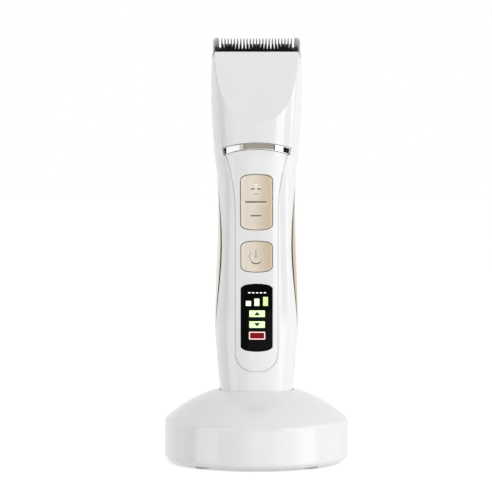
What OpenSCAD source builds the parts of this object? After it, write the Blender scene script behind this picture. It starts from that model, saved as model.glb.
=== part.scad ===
// Electric pet clipper standing in its round charging dock.
// Z is up, the origin is the centre of the dock's footprint, and the buttons face -Y.

/* [Clipper lengths] */
// Tail end to the lower end of the front panel
foot_len = 29.5; // [27:0.5:40]
// Lower end of the front panel to the middle of the chrome band
grip_len = 110; // [106:1:140]
// Chrome band to the front top edge of the head
head_len = 46.5; // [44:0.5:52]

/* [Clipper widths and depths] */
// Width of the tail where the dock's collar meets it
neck_w = 36.3; // [34:0.1:44]
// Width where the palm holds it
palm_w = 40.8; // [38:0.1:49]
// Width at the waist, behind the rocker
waist_w = 38; // [37:0.1:46]
// Width at the chrome band
shoulder_w = 42; // [40:0.1:46]
// Widest part of the head
head_w = 45; // [44:0.1:50]
// Width of the head's top edge
tip_w = 43; // [42:0.1:47]
// Depth where the palm holds it, front to back
palm_d = 38.6; // [37:0.1:46]
// Depth at the waist
waist_d = 36; // [35.6:0.1:43]
// Depth at the chrome band
shoulder_d = 38; // [37:0.1:44]
// Wall of the casings
wall = 2; // [1.6:0.1:2.4]
// Gap along the seams between the casings
seam = 0.15; // [0.1:0.05:0.3]

/* [Front panel] */
// Width of the panel along the grip
panel_w = 20.8; // [20:0.1:24]
// Width of the panel at the chrome band
panel_top_w = 31.4; // [28:0.1:34]
// Width of the chrome band in the front view
band_h = 3.5; // [2.5:0.1:5]
// Radius of the band's arch in the front view
band_r = 53; // [45:1:80]
// Half of the span of the band
band_half = 16.4; // [15:0.1:17]
// Gap around each button
button_gap = 0.3; // [0.2:0.05:0.4]

/* [Buttons and display] */
// Width of the speed rocker
rocker_w = 15.4; // [13:0.1:16]
// Height of the speed rocker
rocker_h = 26.9; // [24:0.1:27]
// Chrome band down to the rocker's middle
rocker_drop = 27.3; // [26:0.1:30]
// Tilt of the rocker each way, in degrees
rocker_tilt = 2.5; // [1:0.1:2.5]
// Width of the power button
power_w = 15.1; // [12:0.1:16]
// Height of the power button
power_h = 14.9; // [12:0.1:15.2]
// Space between the rocker and the power button
button_space = 5.6; // [5.4:0.1:8]
// Travel of the power button
power_travel = 0.5; // [0.3:0.1:0.5]
// Width of the display window
window_w = 15.5; // [14:0.1:16]
// Height of the display window
window_h = 33.1; // [30:0.1:34]
// Panel's lower end up to the window's middle
window_rise = 26.4; // [25:0.1:28]

/* [Blade set] */
// Lean of the blade from upright, in degrees
blade_lean = 35; // [33:0.5:36]
// Height of the comb's tips above the head's top edge
tip_rise = 7; // [6:0.1:8]
// Width of the fixed comb
comb_w = 42.7; // [42:0.1:43]
// Inner teeth of the fixed comb
comb_teeth = 23; // [17:1:27]
// Pitch of the fixed comb's teeth
comb_pitch = 1.55; // [1.3:0.01:1.6]
// Length of the fixed comb's teeth
comb_tooth_len = 8; // [6:0.5:9]
// Thickness of the fixed comb
comb_t = 1.2; // [1:0.1:1.4]
// Teeth of the moving blade
cutter_teeth = 20; // [16:1:22]
// Pitch of the moving blade's teeth
cutter_pitch = 1.75; // [1.5:0.01:1.8]
// Comb tips to cutter tips, along the teeth
cutter_set_back = 2.8; // [1:0.1:3]
// Thickness of the moving blade
cutter_t = 2; // [1.6:0.1:2.2]
// Running gap between comb and cutter
cutter_gap = 0.05; // [0.02:0.01:0.1]

/* [Drive] */
// Diameter of the motor can
motor_d = 24; // [20:0.5:25]
// Length of the motor can
motor_len = 30; // [24:0.5:31]
// Offset of the drive pin from the shaft's axis
crank = 1.1; // [0.8:0.05:1.2]
// Diameter of the drive pin
drive_pin_d = 2.5; // [2:0.1:3]
// Gap each side of the drive pin in the fork
fork_gap = 0.25; // [0.24:0.01:0.4]
// Diameter of the battery cell
cell_d = 18.3; // [14:0.1:18.6]
// Length of the battery cell
cell_len = 65; // [50:1:65]

/* [Dock] */
// Outer diameter of the dock
dock_d = 91; // [88:1:110]
// Height at which the dome meets the rim
dock_rim_z = 22; // [21:0.5:26]
// Radius of the dome in section
dome_r = 64; // [60:1:68]
// Wall of the dock
dock_wall = 2.4; // [2:0.1:3]
// Height of the socket's floor
seat_z = 16.4; // [16:0.1:18]
// Gap between the tail and the socket
socket_gap = 0.45; // [0.35:0.05:0.8]
// Height of the rubber feet
foot_h = 1; // [0.6:0.1:2]
// Travel of the sprung charging pins
pin_travel = 0.8; // [0.4:0.1:0.9]

/* [Hidden] */
$fn = 48;
white = [0.94, 0.94, 0.93];
gold = [0.87, 0.81, 0.71];
dark = [0.09, 0.09, 0.10];
steel = [0.72, 0.73, 0.75];
brass = [0.83, 0.70, 0.38];
board_green = [0.10, 0.36, 0.22];

// heights of the clipper's sections
seat_gap = 0.1;
tail_z = seat_z + seat_gap;
panel_z = tail_z + foot_len;
band_z = panel_z + grip_len;
top_z = band_z + head_len;
// roundness of the body's cross-section: 2 is an ellipse
squareness = 2.4;
loft_sides = 32;
loft_step = 6;
eps = 0.01;
far = 60;

// the body's outline: height, half width, front depth, rear depth
outline = [
    [tail_z, neck_w / 2 - 3.1, neck_w / 2 - 3.9, neck_w / 2 - 3.9],
    [tail_z + 2, neck_w / 2 - 1.5, neck_w / 2 - 2.3, neck_w / 2 - 2.3],
    [tail_z + 20, neck_w / 2, neck_w / 2 - 0.8, neck_w / 2 - 0.8],
    [panel_z + 21, palm_w / 2, palm_d / 2, palm_d / 2],
    [band_z - 36, waist_w / 2, waist_d / 2, waist_d / 2],
    [band_z - 16, waist_w / 2 + 0.3, waist_d / 2 + 0.3, waist_d / 2 + 0.3],
    [band_z - 2, shoulder_w / 2, shoulder_d / 2, shoulder_d / 2],
    [top_z - 16.5, head_w / 2, shoulder_d / 2 - 0.6, shoulder_d / 2 - 3.2],
    [top_z + 12, tip_w / 2 - 0.2, shoulder_d / 2 - 2, shoulder_d / 2 - 7]];

// blade frame: teeth point along local Z, the skin side faces local +Y, tips at the origin
blade_y = -4.5;
blade_z = top_z + tip_rise;
// depth under the skin side where the casings end and the carrier sits
carrier_t = 7;
carrier_end = 38;
// gaps under the carrier and at its lower end
under_gap = 0.2;
end_gap = 0.3;
comb_len = 26;
// rounded lower edge on which the blade set tilts off
pivot_r = 1;
pivot_y = -1.6;
pivot_z = pivot_r - carrier_end;

// the head's hollowed front facet, an arc in side view
facet_low = [-shoulder_d / 2 - 0.05, band_z + 11];
facet_high = [-8.3, top_z + 0.2];
facet_sag = 1.05;

motor_y = -0.5;
motor_top = top_z - 30.5;
motor_low = motor_top - motor_len;
plate_t = 2;
crank_disc_r = 4;
crank_disc_z = motor_top + 6.5;
crank_disc_h = 5.5;
drive_pin_z = crank_disc_z + crank_disc_h;
drive_pin_len = 6.5;
shaft_r = 1;
bush_r = 2;
can_t = 1;
magnet_t = 2.4;
air_gap = 0.4;
screw_r = 1.1;
screw_head_r = 2.1;
screw_fit = 0.05;

board_t = 1.6;
board_y = -9.6;
// front of the push switches' plungers
plunger_y = -13;
board_low = panel_z + 6;
board_top = motor_low - 3.4;
board_w = 25;
rocker_z = band_z - rocker_drop;
rocker_y = -13.8;
rocker_pin_r = 0.75;
rocker_pin_half = panel_w / 2 - 0.3;
// the rocker's two feet: distance from its axis, and their gap to the plungers
rocker_pad = 6.65;
pad_gap = rocker_pad * sin(rocker_tilt) + 0.06;
running = 0.05;
power_z = rocker_z - rocker_h / 2 - button_space - power_h / 2;
window_z = panel_z + window_rise;
screw_z = rocker_z - rocker_h / 2 - button_space / 2;
boss_r = 3;
front_boss_r = 2.4;
side_screw_x = motor_d / 2 + boss_r + 0.2;
side_screw_z = band_z + 7;
button_face_r = 33;

cell_y = 4;
cell_low = tail_z + 13.5;
cell_top = cell_low + cell_len;
cell_gap = 0.15;

trim_z = (panel_z + band_z) / 2;
trim_half = 40.25;
trim_bulge = 8.5;
trim_y = -2;

contact_x = 5;
pin_r = 1;
pin_flange_r = 1.6;
dock_board_z = 6;
spring_low = dock_board_z + board_t + 0.05;
// room for the wound spring below the flange once the pin is pushed in
spring_room = 2.1;
flange_z = spring_low + spring_room + pin_travel;
dock_base_z = foot_h;
dock_base_t = 2.2;
dock_post_r = 31;
ballast_r = 27;
ballast_h = 5;
inlet_z = 10.5;
inlet_r = 2.85;
inlet_len = 9;
// the dome's slope at the rim and at its top, from level
dome_steep = 42;
dome_flat = 15;
dock_rim_r = 3;
dome_centre_z = dock_rim_z - dome_r * cos(dome_steep);
dome_top = dome_centre_z + dome_r * cos(dome_flat);

// ---- shapes -------------------------------------------------------------

function row_of(z, i = 0) = i >= len(outline) - 2 || z < outline[i + 1][0] ? i : row_of(z, i + 1);
function pitch_of(i, k) =
    let (a = max(i - 1, 0), b = min(i + 1, len(outline) - 1))
    (outline[b][k] - outline[a][k]) / (outline[b][0] - outline[a][0]);
// a smooth curve through one column of the outline
function body(z, k) =
    let (i = row_of(z), w = outline[i + 1][0] - outline[i][0], t = (z - outline[i][0]) / w)
    (2 * pow(t, 3) - 3 * t * t + 1) * outline[i][k]
    + (pow(t, 3) - 2 * t * t + t) * w * pitch_of(i, k)
    + (3 * t * t - 2 * pow(t, 3)) * outline[i + 1][k]
    + (pow(t, 3) - t * t) * w * pitch_of(i + 1, k);
function body_point(z, a, grow) =
    let (c = cos(a), s = sin(a), e = 2 / squareness, side = s < 0 ? 2 : 3)
    [(body(z, 1) + grow) * sign(c) * pow(abs(c), e),
     (body(z, side) + grow) * sign(s) * pow(abs(s), e), z];
// distance of the body's front face from the centre plane at x
function front_at(x, z, grow = 0) =
    (body(z, 2) + grow) * pow(1 - pow(abs(x) / (body(z, 1) + grow), squareness), 1 / squareness);

// solid of the body's outer form between two heights, grown or shrunk all round
module loft(z0, z1, grow = 0) {
    rings = ceil((z1 - z0) / loft_step);
    n = loft_sides;
    points = [for (i = [0:rings]) for (j = [0:n - 1])
        body_point(z0 + (z1 - z0) * i / rings, 360 * (j + 0.5) / n, grow)];
    sides = [for (i = [0:rings - 1]) for (j = [0:n - 1]) for (half = [0, 1])
        let (a = i * n + j, b = i * n + (j + 1) % n)
        half == 0 ? [a, a + n, b] : [b, a + n, b + n]];
    low = [for (j = [0:n - 1]) j];
    high = [for (j = [0:n - 1]) rings * n + n - 1 - j];
    polyhedron(points, concat([low, high], sides));
}

// a 2D shape in X and Z pushed through from y0 to y1
module through(y0, y1) {
    translate([0, y1, 0]) rotate([90, 0, 0]) linear_extrude(y1 - y0) children();
}

// a 2D shape in Y and Z pushed across from x0 to x1
module across(x0, x1) {
    translate([x0, 0, 0]) rotate([90, 0, 90]) linear_extrude(x1 - x0) children();
}

module at_blade() {
    translate([0, blade_y, blade_z]) rotate([blade_lean, 0, 0]) children();
}

module block(x0, x1, y0, y1, z0, z1) {
    translate([x0, y0, z0]) cube([x1 - x0, y1 - y0, z1 - z0]);
}

module rod_y(x, z, r, y0, y1) {
    translate([x, y1, z]) rotate([90, 0, 0]) cylinder(r = r, h = y1 - y0);
}

module rod_x(y, z, r, x0, x1) {
    translate([x0, y, z]) rotate([0, 90, 0]) cylinder(r = r, h = x1 - x0);
}

module round_rect(w, h, r) {
    square([w - 2 * r, h], center = true);
    square([w, h - 2 * r], center = true);
    for (x = [-1, 1]) for (y = [-1, 1]) translate([x * (w / 2 - r), y * (h / 2 - r)]) circle(r);
}

// a rounded rectangle whose two ends bow outwards
module bowed_rect(w, h, r, bow) {
    arch = (w * w / 4 + bow * bow) / (2 * bow);
    intersection() {
        round_rect(w, h, r);
        translate([0, h / 2 - arch]) circle(arch, $fn = 180);
        translate([0, arch - h / 2]) circle(arch, $fn = 180);
    }
}

// the hollow of the head's front, with its axis along X
module facet_cut(depth = 0) {
    chord = facet_high - facet_low;
    unit = chord / norm(chord);
    out = [-unit[1], unit[0]];
    r = (pow(norm(chord) / 2, 2) + facet_sag * facet_sag) / (2 * facet_sag);
    centre = (facet_low + facet_high) / 2 + out * (r - facet_sag);
    rod_x(centre[0], centre[1], r + depth, -far, far, $fn = 360);
}

// everything above the line where the blade set sits
module blade_side() {
    at_blade() block(-far, far, -carrier_t - under_gap, far, -carrier_end - end_gap, far);
}

module shell(z0, z1) {
    difference() {
        loft(z0, z1);
        loft(z0 - 1, z1 + 1, -wall);
    }
}

// the body's wall with the hollow facet in the head
module headed_shell(z0) {
    difference() {
        loft(z0, top_z + 6);
        difference() {
            loft(z0 - 1, top_z + 7, -wall);
            facet_cut(wall);
        }
        facet_cut();
    }
}

// ---- outlines of the casings in the front view ---------------------------

function panel_half(z) =
    let (t = max(0, z - (band_z - 32)) / 30) panel_w / 2 + (panel_top_w - panel_w) / 2 * pow(t, 1.9);
function cover_half(z) =
    let (t = (z - band_z) / head_len) band_half + 0.3 + (tip_w / 2 - 1.2 - band_half) * pow(t, 0.8);

module mirrored_outline(right) {
    left = [for (i = [len(right) - 1:-1:0]) [-right[i][0], right[i][1]]];
    polygon(concat(right, left));
}

// everything below the band's arch, whose radius is r
module under_arch(r) {
    translate([0, band_z - band_r]) circle(r, $fn = 180);
    translate([-far, 0]) square([2 * far, band_z - band_r]);
}

module panel_outline(grow = 0) {
    corner = 9;
    low = [for (a = [-90:15:0])
        [panel_half(panel_z) - corner + grow + corner * cos(a), panel_z + corner + corner * sin(a) - grow]];
    sides = [for (i = [0:8]) let (z = band_z - 34 + 36 * i / 8) [panel_half(z) + grow, z]];
    intersection() {
        mirrored_outline(concat(low, sides));
        under_arch(band_r - band_h / 2 + grow);
    }
}

module band_outline(grow = 0) {
    slant = 1.2;
    difference() {
        intersection() {
            under_arch(band_r + band_h / 2 + grow);
            mirrored_outline([[band_half - slant + grow, band_z - 8], [band_half + slant + grow, band_z + 4]]);
        }
        under_arch(band_r - band_h / 2 - grow);
    }
}

module cover_outline(grow = 0) {
    sides = [for (i = [0:8])
        let (z = band_z - 2.6 + (head_len + 10) * i / 8) [cover_half(max(z, band_z)) + grow, z]];
    difference() {
        mirrored_outline(sides);
        under_arch(band_r + band_h / 2 - grow);
    }
}

module trim_outline(grow = 0) {
    r = (trim_half * trim_half + trim_bulge * trim_bulge) / (2 * trim_bulge);
    intersection() {
        translate([trim_y + r - trim_bulge, trim_z]) circle(r + grow, $fn = 360);
        translate([trim_y - r + trim_bulge, trim_z]) circle(r + grow, $fn = 360);
    }
}

module side_trim(side) {
    color(gold) intersection() {
        shell(trim_z - trim_half - 4, trim_z + trim_half + 4);
        scale([side, 1, 1]) across(5, far) trim_outline();
    }
}

// ---- casings --------------------------------------------------------------

module rear_boss(x, z, front) {
    rear = body(z, 3) * pow(1 - pow(abs(x) / body(z, 1), squareness), 1 / squareness);
    difference() {
        intersection() {
            rod_y(x, z, boss_r, front, rear);
            loft(z - 5, z + 5, -wall / 2);
        }
        rod_y(x, z, screw_r + 0.3, front - 1, rear + 1);
        rod_y(x, z, screw_head_r + 0.3, rear - wall / 2 - 4, rear + 1);
    }
}

module rear_hole(x, z) {
    rod_y(x, z, screw_head_r + 0.3, 8, far);
}

module rear_housing() {
    color(white) {
        difference() {
            headed_shell(tail_z);
            through(-far, -2) panel_outline(seam);
            through(-far, 1) cover_outline(seam);
            through(-far, -5) band_outline(seam);
            across(-far, far) trim_outline(seam);
            blade_side();
            rear_hole(0, screw_z);
            for (x = [-1, 1]) rear_hole(x * side_screw_x, side_screw_z);
        }
        rear_boss(0, screw_z, -5);
        for (x = [-1, 1]) rear_boss(x * side_screw_x, side_screw_z, 1);
    }
}

module front_boss(x, z, back) {
    difference() {
        intersection() {
            rod_y(x, z, front_boss_r, -front_at(x, z), back);
            loft(z - 5, z + 5, -wall / 2);
        }
        rod_y(x, z, screw_r + screw_fit, back - 7, back + 1);
    }
}

module front_panel() {
    lug = rocker_w / 2 + 0.6;
    color(white) {
        difference() {
            union() {
                intersection() {
                    shell(panel_z - 3, band_z + 3);
                    through(-far, -4) panel_outline();
                }
                for (x = [-1, 1]) block(min(x * lug, x * rocker_pin_half), max(x * lug, x * rocker_pin_half),
                    rocker_y - 1.4, rocker_y + 1.6, rocker_z - 2.2, rocker_z + 2.2);
            }
            rod_x(rocker_y, rocker_z, rocker_pin_r + 0.01, -rocker_pin_half - eps, rocker_pin_half + eps);
            through(-far, 0) translate([0, rocker_z])
                bowed_rect(rocker_w + 2 * button_gap, rocker_h + 2 * button_gap, 2.9, 1.1);
            through(-far, 0) translate([0, power_z])
                bowed_rect(power_w + 2 * button_gap, power_h + 2 * button_gap, 2.9, 1);
            through(-far, 0) translate([0, window_z])
                bowed_rect(window_w + 0.2, window_h + 0.2, 2.5, 1.3);
        }
        front_boss(0, screw_z, -5 - eps);
    }
}

module head_cover() {
    color(white) {
        difference() {
            intersection() {
                headed_shell(band_z - 12);
                through(-far, 0) cover_outline();
            }
            blade_side();
        }
        for (x = [-1, 1]) front_boss(x * side_screw_x, side_screw_z, 1 - eps);
    }
}

module chrome_band() {
    proud = 0.25;
    color(steel) intersection() {
        difference() {
            loft(band_z - 12, band_z + 8, proud);
            loft(band_z - 13, band_z + 9, proud - 1.6);
        }
        through(-far, -6) band_outline(-0.05);
    }
}

module side_trim_left() side_trim(-1);
module side_trim_right() side_trim(1);

module tail_insert() {
    color(dark) difference() {
        intersection() {
            loft(tail_z - 1, top_z + 7, -wall - 0.15);
            block(-far, far, -far, far, tail_z, tail_z + 4);
        }
        for (x = [-1, 1]) translate([x * contact_x, 0, tail_z - 1]) cylinder(r = 2.5, h = 2);
    }
}

module charge_contacts() {
    color(brass) for (x = [-1, 1]) translate([x * contact_x, 0, tail_z + 0.1]) cylinder(r = 2.45, h = 0.88);
}

module housing_screw(x, z, head_y, tip_y) {
    difference() {
        union() {
            rod_y(x, z, screw_r, tip_y, head_y);
            rod_y(x, z, screw_head_r, head_y - 0.01, head_y + 1.5);
        }
        rod_y(x, z, 0.8, head_y + 0.7, head_y + 2);
    }
}

module housing_screws() {
    color(steel) {
        rear_mid = body(screw_z, 3);
        rear_side = body(side_screw_z, 3)
            * pow(1 - pow(side_screw_x / body(side_screw_z, 1), squareness), 1 / squareness);
        housing_screw(0, screw_z, rear_mid - wall / 2 - 4 + eps, -11);
        for (x = [-1, 1])
            housing_screw(x * side_screw_x, side_screw_z, rear_side - wall / 2 - 4 + eps, -5);
    }
}

// ---- buttons and display ---------------------------------------------------

// keeps a button's front on an upright cylinder that is proud of the panel
module face_limit(z, proud) {
    front = front_at(0, z) + proud;
    translate([0, button_face_r - front, z]) cylinder(r = button_face_r, h = 80, center = true, $fn = 180);
}

module speed_rocker() {
    color(gold) difference() {
        union() {
            intersection() {
                through(-far, -15.4) translate([0, rocker_z]) bowed_rect(rocker_w, rocker_h, 2.7, 1.1);
                face_limit(rocker_z, 0.5);
            }
            block(-7, 7, -15.6, rocker_y + 1, rocker_z - 2, rocker_z + 2);
            for (z = [-1, 1]) rod_y(0, rocker_z + z * rocker_pad, 1.5, -15.6, plunger_y - pad_gap);
        }
        rod_x(rocker_y, rocker_z, rocker_pin_r + running, -far, far);
        block(-5.35, 5.35, -far, -18.2, rocker_z - 0.35, rocker_z + 0.35);
    }
}

module rocker_pin() {
    color(steel) rod_x(rocker_y, rocker_z, rocker_pin_r, -rocker_pin_half, rocker_pin_half);
}

module power_button() {
    color(gold) {
        intersection() {
            through(-far, -15.4) translate([0, power_z]) bowed_rect(power_w, power_h, 2.7, 1);
            face_limit(power_z, 0.5);
        }
        rod_y(0, power_z, 5, -15.5, -14.3);
        block(-8.6, 8.6, -14.6, -13.9, power_z - 4, power_z + 4);
        rod_y(0, power_z, 1.6, -14.5, plunger_y - power_travel - 0.05);
    }
}

module display_window() {
    color(dark) intersection() {
        through(-far, -17.2) translate([0, window_z]) bowed_rect(window_w, window_h, 2.4, 1.3);
        face_limit(window_z, 0.15);
    }
}

module display_module() {
    half = window_h / 2 - 2.4;
    color(dark) difference() {
        block(-7.2, 7.2, -16.7, board_y - eps, window_z - half, window_z + half);
        for (x = [-1, 1]) rod_y(x * 5.5, window_z - half + 1.4, 0.6, -20, -15);
    }
}

module display_marks() {
    y0 = -16.95;
    y1 = -16.7 - eps;
    color([0.65, 0.85, 0.45]) {
        for (i = [0:2]) block(i * 4.3 - 5.5, i * 4.3 - 2.9, y0, y1, window_z + 5.5, window_z + 8 + i);
        for (i = [0, 1]) block(-4, 4, y0, y1, window_z + 0.3 - i * 5.5, window_z + 3.8 - i * 5.5);
        block(-4.1, 4.1, y0, y1, window_z - 10.7, window_z - 6.8);
        for (i = [-2:2]) block(i * 2.2 - 0.6, i * 2.2 + 0.6, y0, y1, window_z + 11.6, window_z + 13);
    }
}

module main_board() {
    color(board_green) difference() {
        block(-board_w / 2, board_w / 2, board_y, board_y + board_t, board_low, board_top);
        rod_y(0, screw_z, 3.3, board_y - 1, board_y + board_t + 1);
        for (x = [-1, 1]) for (z = [board_low + 3, board_top - 3])
            rod_y(x * (board_w / 2 - 2.5), z, 1, board_y - 1, board_y + board_t + 1);
    }
}

module push_switches() {
    color(dark) for (z = [rocker_z - rocker_pad, rocker_z + rocker_pad, power_z]) {
        block(-3, 3, board_y - 2.6, board_y - eps, z - 3, z + 3);
        rod_y(0, z, 1.7, plunger_y, board_y - 2.5);
    }
}

module board_parts() {
    y0 = board_y + board_t + eps;
    color(dark) {
        block(-4, 4, y0, y0 + 1.2, window_z - 6, window_z + 6);
        block(-9, -5, y0, y0 + 1.2, window_z + 12, window_z + 17);
        block(6, 9, y0, y0 + 1, power_z - 10, power_z - 6);
        for (i = [0:4]) block(-10.5, -9, y0, y0 + 0.7, window_z - 10 + i * 4, window_z - 9 + i * 4);
        block(-6, 6, y0, y0 + 4.5, board_top - 10, board_top - 5);
    }
}

// ---- drive -----------------------------------------------------------------

module at_motor(z) {
    translate([0, motor_y, z]) children();
}

module motor_can() {
    color(steel) at_motor(motor_low) difference() {
        union() {
            cylinder(d = motor_d, h = motor_len - eps);
            translate([0, 0, motor_len - 1]) cylinder(r = bush_r + 1, h = 2.4);
        }
        translate([0, 0, -1]) cylinder(r = motor_d / 2 - can_t, h = motor_len - can_t + 1);
        translate([0, 0, motor_len - 5]) cylinder(r = bush_r, h = 8);
        for (a = [0, 180]) rotate(a) translate([motor_d / 2 - 3, -2, 2]) cube([4, 4, 2.5]);
    }
}

module motor_magnets() {
    r = motor_d / 2 - can_t - eps;
    color([0.25, 0.25, 0.27]) at_motor(motor_low + 5) difference() {
        cylinder(r = r, h = motor_len - 10);
        translate([0, 0, -1]) cylinder(r = r - magnet_t, h = motor_len);
        translate([-2, -far, -1]) cube([4, 2 * far, motor_len]);
    }
}

module motor_rotor() {
    r = motor_d / 2 - can_t - magnet_t - air_gap;
    color([0.72, 0.42, 0.22]) at_motor(motor_low + 6) difference() {
        union() {
            cylinder(r = r, h = motor_len - 12);
            translate([0, 0, -3]) cylinder(r = 2.6, h = 4);
        }
        translate([0, 0, -4]) cylinder(r = shaft_r + 0.005, h = motor_len);
        for (a = [0:120:240]) rotate(a) translate([r - 3, -0.8, -1]) cube([4, 1.6, motor_len]);
    }
}

module motor_bushes() {
    color(brass) for (z = [motor_low - 1.5, motor_top - can_t]) at_motor(z) difference() {
        cylinder(r = bush_r - eps, h = 2.6);
        translate([0, 0, -1]) cylinder(r = shaft_r + 0.03, h = 5);
    }
}

module motor_end_cap() {
    color(dark) at_motor(motor_low - 2 - eps) difference() {
        union() {
            cylinder(r = motor_d / 2 - 0.6, h = 2);
            cylinder(r = motor_d / 2 - can_t - 0.1, h = 3.4);
        }
        translate([0, 0, 0.5]) cylinder(r = bush_r, h = 5);
    }
    color(brass) for (x = [-1, 1]) translate([x * 6 - 1, motor_y + 5, motor_low - 4.5]) cube([2, 0.5, 2.5]);
}

module motor_plate() {
    arm = body(motor_top, 1) - wall - 1;
    color([0.25, 0.26, 0.28]) difference() {
        union() {
            at_motor(motor_top) cylinder(r = motor_d / 2, h = plate_t);
            block(-arm, arm, motor_y - 4, motor_y + 4, motor_top, motor_top + plate_t);
        }
        at_motor(motor_top - 1) cylinder(r = bush_r + 1 + running, h = 5);
        for (x = [-1, 1]) translate([x * 8, motor_y, motor_top - 1]) cylinder(r = screw_r + 0.1, h = 5);
    }
}

module motor_screws() {
    color(steel) for (x = [-1, 1]) translate([x * 8, motor_y, motor_top + plate_t + eps]) {
        cylinder(r = screw_head_r, h = 1.2);
        translate([0, 0, -plate_t]) cylinder(r = screw_r, h = plate_t);
    }
}

module motor_shaft() {
    low = motor_low - 1.2;
    color(steel) at_motor(low) cylinder(r = shaft_r, h = drive_pin_z - 1.1 - low);
}

module eccentric() {
    color(steel) difference() {
        union() {
            at_motor(crank_disc_z) cylinder(r = crank_disc_r, h = crank_disc_h);
            translate([0, motor_y - crank, drive_pin_z - eps])
                cylinder(d = drive_pin_d, h = drive_pin_len);
        }
        at_motor(crank_disc_z - 1) cylinder(r = shaft_r + 0.005, h = crank_disc_h);
    }
}

module battery_cell() {
    color([0.20, 0.36, 0.62]) translate([0, cell_y, cell_low]) {
        cylinder(d = cell_d, h = cell_len);
        translate([0, 0, cell_len - eps]) cylinder(r = 3.2, h = 0.9);
    }
}

module battery_tabs() {
    color(steel) {
        translate([-3, cell_y - 4, cell_low - 0.3 - eps]) cube([6, 8, 0.3]);
        translate([-3, cell_y - 3, cell_top + 0.9]) cube([6, 6, 0.3]);
    }
}

module battery_cradle() {
    r = cell_d / 2 + cell_gap;
    color([0.25, 0.26, 0.28]) difference() {
        union() {
            translate([0, cell_y, cell_low + 4]) cylinder(r = r + 1.2, h = cell_len - 8);
            for (z = [cell_low + 6, cell_top - 10])
                block(-2, 2, cell_y, min(body(z, 3), body(z + 4, 3)) - wall - 0.3, z, z + 4);
        }
        translate([0, cell_y, cell_low]) cylinder(r = r, h = cell_len);
        block(-far, far, -far, cell_y - 0.5, 0, 400);
    }
}

// a wire through a list of points
module lead(points, r = 0.6) {
    for (i = [0:len(points) - 2]) {
        step = points[i + 1] - points[i];
        flat = norm([step[0], step[1]]);
        translate(points[i]) rotate([0, atan2(flat, step[2]), atan2(step[1], step[0])])
            cylinder(r = r, h = norm(step), $fn = 16);
    }
    if (len(points) > 2)
        for (i = [1:len(points) - 2]) translate(points[i]) rotate(37) sphere(r * 1.15, $fn = 16);
}

module battery_leads() {
    back = board_y + board_t + 0.7;
    color("firebrick") {
        lead([[3.6, cell_y, cell_low - 1], [11, cell_y - 6, cell_low - 2.5], [11.2, back + 0.8, board_low + 6]]);
        lead([[-3.7, cell_y, cell_top + 1.7], [-10.2, back + 2, cell_top + 0.8], [-10.8, back, cell_top - 9]]);
    }
}

module motor_leads() {
    back = board_y + board_t + 0.7;
    low = motor_low - 5.2;
    color("dimgray") for (x = [-1, 1])
        lead([[x * 6, motor_y + 5, low], [x * 7.5, motor_y + 1, low - 5], [x * 7.5, back, low - 14]]);
}

// ---- blade set ---------------------------------------------------------------

function tooth_row(count, pitch, root_w, tip_w, root, tip) =
    [for (i = [0:count - 1]) let (x = (i - (count - 1) / 2) * pitch)
        each [[x - root_w / 2, root], [x - tip_w / 2, tip], [x + tip_w / 2, tip], [x + root_w / 2, root]]];

module fixed_comb() {
    half = comb_w / 2;
    end_w = 3.1;
    teeth = tooth_row(comb_teeth, comb_pitch, 0.95, 0.6, -comb_tooth_len, -0.4);
    left = [[-half + end_w, -comb_tooth_len], [-half + end_w - 0.3, 0], [-half + 1.2, 0], [-half, -1.4],
        [-half, -12], [-half + 3.4, -comb_len]];
    right = [for (i = [len(left) - 1:-1:0]) [-left[i][0], left[i][1]]];
    turned = [for (i = [len(teeth) - 1:-1:0]) teeth[i]];
    color(steel) at_blade() difference() {
        through(-comb_t, 0) polygon(concat(left, right, turned));
        // bevel on the skin side of the tips
        translate([-far, 0, -5]) rotate([7, 0, 0]) cube([2 * far, 4, 10]);
        for (x = [-1, 1]) rod_y(x * 13, -21, 1.3, -4, 4);
        for (x = [-1, 1]) rod_y(x * 13, -21, 2.2, -0.6, 4);
    }
}

module moving_blade() {
    half = cutter_pitch * cutter_teeth / 2 + 0.35;
    root = -cutter_set_back - 4.6;
    teeth = tooth_row(cutter_teeth, cutter_pitch, 1.15, 0.7, root, -cutter_set_back);
    turned = [for (i = [len(teeth) - 1:-1:0]) teeth[i]];
    y1 = -comb_t - cutter_gap;
    color(dark) at_blade() difference() {
        through(y1 - cutter_t, y1) polygon(concat([[-half, root], [-half, -15], [half, -15], [half, root]], turned));
        // bevel on the front of the teeth
        translate([-far, y1 - cutter_t, root]) rotate([-14, 0, 0]) translate([0, -4, 0]) cube([2 * far, 4, 12]);
    }
}

module blade_driver() {
    y1 = -comb_t - cutter_gap - cutter_t - eps;
    slot = drive_pin_d / 2 + fork_gap;
    fork_w = 4.4;
    fork_low = drive_pin_z + 3;
    fork_top = drive_pin_z + drive_pin_len;
    color([0.25, 0.42, 0.66]) difference() {
        union() {
            at_blade() block(-9, 9, y1 - 3.2, y1, -14.6, -9.4);
            block(-fork_w, fork_w, motor_y - 4, motor_y + 4.6, fork_low, fork_top + 5.5);
        }
        block(-slot, slot, motor_y - 8, motor_y + crank + drive_pin_d / 2 + 0.6, fork_low - 1, fork_top + 0.8);
        at_blade() block(-far, far, y1, far, -far, far);
    }
}

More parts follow.
